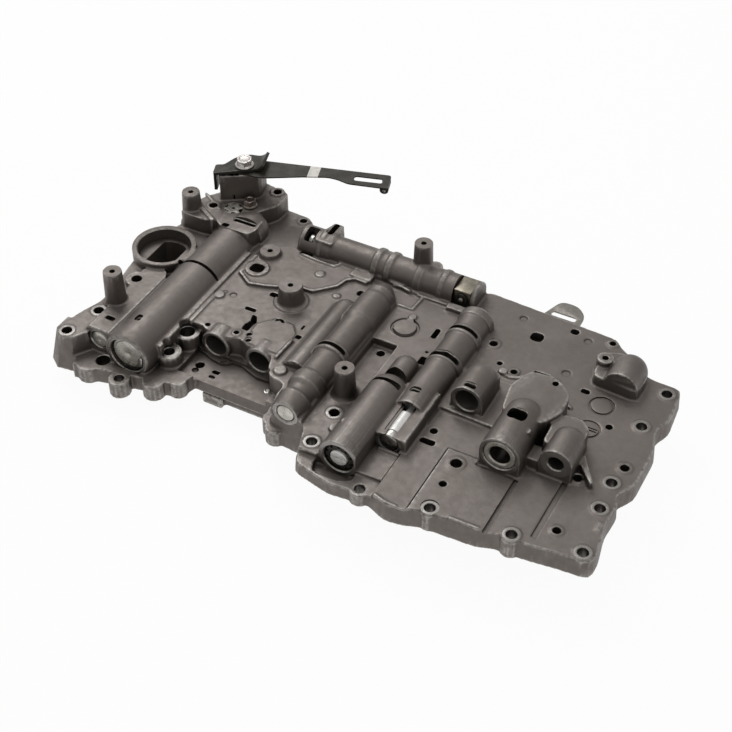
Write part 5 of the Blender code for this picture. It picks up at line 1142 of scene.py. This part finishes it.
def manual_valve():
    """The manual valve in its cross bore, and the stop at its right end."""
    m, s = MANUAL, STOP
    z, r = DECK + m["axis"], m["bore"] - RUNNING
    profile = lands_profile(MANUAL_LANDS, MANUAL_START, r, MANUAL_WAIST)
    turned_piece("manual_valve", "X", m["y"], z, profile, [STEEL])
    x, front, back, pin_z = s["x"], s["front"], s["back"], z + s["pin"]
    block = box(x - s["half"], x + s["half"], front, back, z - m["bore"] + 0.3, z + 7.5, [TAN])
    cut(block, [rod("Y", x, pin_z, 2.1, front - 1, back + 1, [TAN], 32)], solver="EXACT")
    stand_for(shade(bevelled(block, 0.6, 3), STAMPED_SHARP), "valve_stop_block")
    first = front - 2.5
    profile = [(first, 1.3), (first + 0.4, 1.8), (first + 1.2, 1.8), (first + 1.2, 1.3), (first + 2.2, 1.3),
               (first + 2.2, 1.8), (back - 1, 1.8)]
    turned_piece("valve_stop_pin", "Y", x, pin_z, profile, [STEEL], 40)
    clip = open_ring(x, pin_z, 2.1, 4.2, -60, 240, front - 1.3, front - GAP, [BLACK])
    stand_for(shade(bevelled(clip, 0.2), STAMPED_SHARP), "valve_stop_clip")


def small_parts():
    """The ringed bore's sleeve, the platform's star plug and the ledge's plug."""
    x, z, front = RINGED_BORE
    back = front + 12
    section = [(front + 0.8, 6.6), (front, 7.4), (front, 9.5), (front + 0.4, 9.9), (back, 9.9), (back, 6.6)]
    sleeve = lathe("Y", x, z, section, [BRIGHT, BORE])
    for face in sleeve.data.polygons:
        middle = face.center / MM
        if math.hypot(middle.x - x, middle.z - z) < 6.8:
            face.material_index = 1
    stand_for(shade(sleeve, SMALL_SHARP), "bore_sleeve")
    x, y, top = STAR_PLUG
    plug = turned("Z", x, y, [(top - 4, 6.4), (top + 0.2, 6.4), (top + 0.5, 6.1)], [BRIGHT])
    cuts = [rod("Z", x, y, 1.1, top - 2, top + 1, [BORE], 24)]
    cuts += [rod("Z", u, v, 1.8, top - 2.6, top + 1, [BORE], 28) for u, v in circle(x, y, 6.2, 6)]
    cut(plug, cuts, solver="EXACT")
    stand_for(shade(bevelled(plug, 0.15), SMALL_SHARP), "platform_plug")
    x, y, top = LEDGE_PLUG
    profile = [(top - 3.4, 2.5), (top - 0.5, 2.5), (top - 0.1, 2.1), (top, 1.6), (top - 0.3, 1.2)]
    stand_for(shade(turned("Z", x, y, profile, [STEEL], 40), 30), "ledge_plug")


# Fasteners, sheets and the detent spring

# Flange bolts: across flats, radius of the flange and of the shank
M6 = {"flats": 10, "flange": 6.6, "shank": 2.9}
M5 = {"flats": 8, "flange": 5.3, "shank": 2.4}
PLATFORM_BOLT = (-143.6, 95, DECK + 13)
PLATE_OUTLINE = [
    (-6, -56), (4, -66), (60, -68), (150, -64), (166, -30), (166, 62), (130, 92),
    (40, 97), (-6, 88),
]
TAB_OUTLINE = [(62, 84), (100, 84), (99, 126), (91, 133.5), (79, 133)]
TAB_SLOT = (86.25, 119.25, 17.5, 4.5, 0.48)


def flange_bolt(node, size, x, y, seat, direction, shank, skins):
    """Hexagon flange bolt with a coned flange, chamfered head and shallow recess in its top."""
    shank_r, flange_r, hex_r = size["shank"], size["flange"], size["flats"] / 2 / math.cos(math.pi / 6)
    low, top = seat + direction * GAP, seat + direction * 5.6

    def at(height):
        return low + direction * height

    profile = [(seat - direction * shank, shank_r - 0.4), (seat - direction * (shank - 0.4), shank_r),
               (low, shank_r), (low, flange_r - 0.3), (at(0.3), flange_r), (at(0.7), flange_r),
               (at(1.5), hex_r - 0.2), (at(1.5), hex_r - 1.6)]
    body = turned("Z", x, y, profile, skins, 64)
    head = prism(circle(x, y, hex_r, 6), "Z", *sorted((at(0.8), top)), skins)
    cone = [(at(0.5), hex_r + 1), (top - direction * 0.9, hex_r + 0.35), (top, hex_r - 0.9), (top, hex_r - 2),
            (top - direction * 0.4, hex_r - 2.5)]
    cut(head, [turned("Z", x, y, cone, skins, 64)], "INTERSECT", "EXACT")
    cut(body, [head], "UNION", "EXACT")
    stand_for(shade(bevelled(body, 0.12), SMALL_SHARP), node)


def separator_plate():
    """The separator plate with its slotted tab."""
    low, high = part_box("separator_plate")
    z0, z1 = low[2] / MM, high[2] / MM
    plate = prism(PLATE_OUTLINE, "Z", z0, z1, [PLATE])
    cut(plate, [prism(rounded(TAB_OUTLINE, 5, 8), "Z", z0, z1, [PLATE])], "UNION", "EXACT")
    cut(plate, [prism(slot_outline(*TAB_SLOT), "Z", z0 - 1, z1 + 1, [PLATE])], solver="EXACT")
    stand_for(shade(bevelled(plate, 0.18), 40), "separator_plate")


DETENT_ANGLE = math.radians(17)
LEAF_ORIGIN = (-156.3, 110.2)
LEAF_BOTTOM = DECK + 34
LEAF_T = 0.9
LEAF_TIP = 104
LEAF_OUTLINE = [
    (-4, -11), (14, -14), (20, -13), (44, -7), (61, -4.2), (68, -5.5), (76, -9),
    (LEAF_TIP, -9.6), (LEAF_TIP, 6), (14, 6.2), (-4, 4),
]
LEAF_SLOT = (79, 99.5, -4.6, 0.8)
DETENT_BOLT = (-153.2, 106)
PAINT_BAND = (46.5, 54)
CLAMP_BOTTOM = LEAF_BOTTOM + LEAF_T + 0.3
CLAMP_T = 2
ROLLER_T = -1.8
ROLLER_Z = LEAF_BOTTOM - 3.3
ROLLER_S = LEAF_TIP - 3
EAR_R, EAR_T = 2.6, 4.75  # radius of an ear's end, and its place beside the roller's middle
BOLT_PASSAGE = 3.25
# Clamp plate: outline, the tab that is bent down, and where its tip starts to curl, how wide and how far
CLAMP_OUTLINE = [
    (-171.4, 97.2), (-167.6, 87.4), (-144.5, 104.8), (-151, 120.5), (-156.7, 119), (-163.8, 110.8),
    (-166.4, 100.2),
]
CLAMP_TAB = [(-170.9, 96), (-168.2, 88.8), (-166.3, 89.5), (-169, 96.7)]
CURL_START, CURL_R, CURL_SWING = 8, 9.8, math.radians(62)
CURL_WIDTH = (-8.6, 8.3)


def detent_place(s, t):
    """Turn detent coordinates, along and across the leaf, into x, y."""
    c, n = math.cos(DETENT_ANGLE), math.sin(DETENT_ANGLE)
    return (LEAF_ORIGIN[0] + s * c - t * n, LEAF_ORIGIN[1] + s * n + t * c)


def detent_sheet(points, low, high):
    """An upright prism whose outline is given in detent coordinates."""
    return prism([detent_place(s, t) for s, t in points], "Z", low, high, [BLACK])


def detent_bar(section, t0, t1):
    """A bar across the leaf: its section is given as points (s, z)."""
    return rings_solid([[(*detent_place(s, t), z) for s, z in section] for t in (t0, t1)], [BLACK], None)


def detent_leaf():
    """Leaf spring with a slot near its tip, ears for the roller pin and a band of paint."""
    top = LEAF_BOTTOM + LEAF_T
    leaf = detent_sheet(rounded(LEAF_OUTLINE, 2.5, 8), LEAF_BOTTOM, top)
    arc = [math.pi * k / 12 for k in range(13)]
    section = [(ROLLER_S - 3 * math.cos(a), ROLLER_Z - EAR_R * math.sin(a)) for a in arc]
    section += [(LEAF_TIP, top), (LEAF_TIP - 6, top)]
    middles = (ROLLER_T - EAR_T, ROLLER_T + EAR_T)
    cut(leaf, [detent_bar(section, t - LEAF_T / 2, t + LEAF_T / 2) for t in middles], "UNION", "EXACT")
    low, high = ROLLER_Z - EAR_R - 2, top + 1
    cuts = [detent_sheet(rounded(rectangle(*LEAF_SLOT), 2.4, 8), low, high),
            rod("Z", *DETENT_BOLT, BOLT_PASSAGE, low, high, [BLACK], 40),
            detent_bar(circle(ROLLER_S, ROLLER_Z, 1.4, 24), ROLLER_T - 8, ROLLER_T + 8)]
    cut(leaf, cuts, solver="EXACT")
    bevelled(leaf, 0.15)
    leaf.data.materials.append(PAINT)
    direction = Vector((math.cos(DETENT_ANGLE), math.sin(DETENT_ANGLE), 0))
    origin = Vector((*LEAF_ORIGIN, 0)) * MM
    bm = bmesh.new()
    bm.from_mesh(leaf.data)
    for s in [2.5 + 2.5 * k for k in range(18)] + list(PAINT_BAND):
        bmesh.ops.bisect_plane(bm, geom=bm.verts[:] + bm.edges[:] + bm.faces[:], dist=1e-7,
                               plane_co=origin + direction * s * MM, plane_no=direction)
    for face in bm.faces:
        middle = face.calc_center_median()
        s = (middle - origin).dot(direction) / MM
        if PAINT_BAND[0] < s < PAINT_BAND[1] and middle.z > (LEAF_BOTTOM + 0.2) * MM:
            face.material_index = 1
    bm.to_mesh(leaf.data)
    bm.free()
    stand_for(shade(leaf, 40), "detent_leaf", ride=False)
    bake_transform(leaf)


def detent_clamp():
    """Clamp plate over the leaf, with a tab bent down and a tip that curls up to a point."""
    top = CLAMP_BOTTOM + CLAMP_T
    clamp = prism(rounded(CLAMP_OUTLINE, 1.5, 5), "Z", CLAMP_BOTTOM, top, [BLACK])
    tab = prism(CLAMP_TAB, "Z", CLAMP_BOTTOM - 13, top, [BLACK])
    angles = [CURL_SWING * k / 14 for k in range(15)]
    section = []
    for reach, turns in ((CURL_R, angles), (CURL_R - CLAMP_T, reversed(angles))):
        section += [(CURL_START + reach * math.sin(a), CLAMP_BOTTOM + CURL_R - reach * math.cos(a))
                    for a in turns]
    section += [(CURL_START - 2, top), (CURL_START - 2, CLAMP_BOTTOM)]
    cut(clamp, [tab, detent_bar(section, *CURL_WIDTH)], "UNION", "EXACT")
    passage = rod("Z", *DETENT_BOLT, BOLT_PASSAGE, CLAMP_BOTTOM - 1, top + 1, [BLACK], 40)
    cut(clamp, [passage], solver="EXACT")
    stand_for(shade(bevelled(clamp, 0.3, 2, 40), SOFT_SHARP), "detent_clamp")


def detent_roller():
    """The roller and its pin, under the end of the leaf and across it."""
    middle = Vector((*detent_place(ROLLER_S, ROLLER_T), ROLLER_Z)) * MM
    place = Matrix.Translation(middle) @ Matrix.Rotation(DETENT_ANGLE, 4, "Z")
    section = [(-4, 1.45), (-4, 2.6), (-3.6, 3), (3.6, 3), (4, 2.6), (4, 1.45)]
    roller = lathe("Y", 0, 0, section, [BLACK], 48)
    pin = turned("Y", 0, 0, [(-5.7, 0.8), (-5.4, 1.1), (5.4, 1.1), (5.7, 0.8)], [STEEL], 32)
    for piece, node in ((roller, "detent_roller"), (pin, "detent_roller_pin")):
        piece.data.transform(place)
        stand_for(shade(piece, TURNED_SHARP), node)


def fasteners():
    """The detent bolt, the platform bolt and the six bolts under the lower casting."""
    flange_bolt("detent_bolt", M6, *DETENT_BOLT, CLAMP_BOTTOM + CLAMP_T, 1, 14, [BOLT])
    flange_bolt("platform_bolt", M5, *PLATFORM_BOLT, 1, 8, [BROWN])
    for i, (x, y) in enumerate(UNDER_BOLTS, start=1):
        flange_bolt("under_bolt_%d" % i, M6, x, y, UNDER_BOLT_SEAT, -1, 2, [BOLT])


# Stage, light and camera

FLOOR_Z = -0.0002         # metres, just under the object
FLOOR_GLOW = 0.95         # share of its own light where the camera, a reflection or glass sees the floor
SKY_SIDE = (-0.50, 0.45, 0.74)
SKY_LIGHT = {"From Min": -0.1, "From Max": 0.95, "To Min": 0.40, "To Max": 0.58}
# Lamps: name, place, width and length in metres, and power
LAMPS = [("key", (-0.60, 0.45, 0.95), (0.7, 0.5), 4.6), ("top", (0.1, 0.1, 1.3), (0.9, 0.7), 1.5)]
LAMP_AIM = (0.0, 0.0, 0.04)


def white_floor():
    """A plain white floor that looks evenly white, and still takes the object's shadow."""
    bpy.ops.mesh.primitive_plane_add(size=8.0, location=(0.0, 0.0, FLOOR_Z))
    floor = bpy.context.object
    floor.name = "floor"
    n = Nodes("floor_white")
    n.surface((0.86, 0.86, 0.86), 0.0, 0.9)
    nodes = n.tree.nodes
    seen_by = nodes.new("ShaderNodeLightPath").outputs
    glow = nodes.new("ShaderNodeEmission")
    glow.inputs["Color"].default_value = (1.0, 1.0, 1.0, 1.0)
    blend = nodes.new("ShaderNodeMixShader")
    rays = n.math("MAXIMUM", seen_by["Is Camera Ray"], seen_by["Is Glossy Ray"])
    rays = n.math("MAXIMUM", rays, seen_by["Is Transmission Ray"])
    n.link(n.math("MULTIPLY", rays, FLOOR_GLOW), blend.inputs[0])
    n.link(n.shader.outputs[0], blend.inputs[1])
    n.link(glow.outputs[0], blend.inputs[2])
    n.link(blend.outputs[0], nodes["Material Output"].inputs["Surface"])
    floor.data.materials.append(n.mat)


def soft_sky():
    """A white world that is lighter toward one side."""
    world = bpy.data.worlds.new("studio")
    bpy.context.scene.world = world
    world.use_nodes = True
    nodes, links = world.node_tree.nodes, world.node_tree.links
    turn = nodes.new("ShaderNodeVectorMath")
    turn.operation = "DOT_PRODUCT"
    turn.inputs[1].default_value = Vector(SKY_SIDE).normalized()
    links.new(nodes.new("ShaderNodeTexCoord").outputs["Generated"], turn.inputs[0])
    level = nodes.new("ShaderNodeMapRange")
    level.interpolation_type = "SMOOTHSTEP"
    for key, number in SKY_LIGHT.items():
        level.inputs[key].default_value = number
    links.new(turn.outputs["Value"], level.inputs["Value"])
    links.new(level.outputs["Result"], nodes["Background"].inputs["Strength"])
    nodes["Background"].inputs["Color"].default_value = (1.0, 0.99, 0.97, 1.0)


def placed(name, data, place, aim):
    """An object of the given data at a place, which looks at another place."""
    made = bpy.data.objects.new(name, data)
    bpy.context.scene.collection.objects.link(made)
    made.location = place
    made.rotation_euler = (Vector(aim) - Vector(place)).to_track_quat("-Z", "Y").to_euler()
    return made


def studio():
    """White floor, soft light from above and behind, and the photograph's camera."""
    white_floor()
    soft_sky()
    for name, place, size, power in LAMPS:
        data = bpy.data.lights.new(name, "AREA")
        data.shape = "RECTANGLE"
        data.size, data.size_y = size
        data.energy = power
        placed(name, data, place, LAMP_AIM)
    data = bpy.data.cameras.new("camera")
    data.sensor_width = CAMERA_SENSOR
    data.lens = CAMERA_LENS
    data.clip_start = 0.01
    scene = bpy.context.scene
    scene.camera = placed("camera", data, Vector(CAMERA_PLACE) * MM, Vector(CAMERA_AIM) * MM)
    scene.view_settings.view_transform = "Standard"


dress_nodes()
upper_casting()
lower_casting()
valve_sets()
accumulator()
regulator()
manual_valve()
small_parts()
separator_plate()
detent_leaf()
detent_clamp()
detent_roller()
fasteners()
studio()
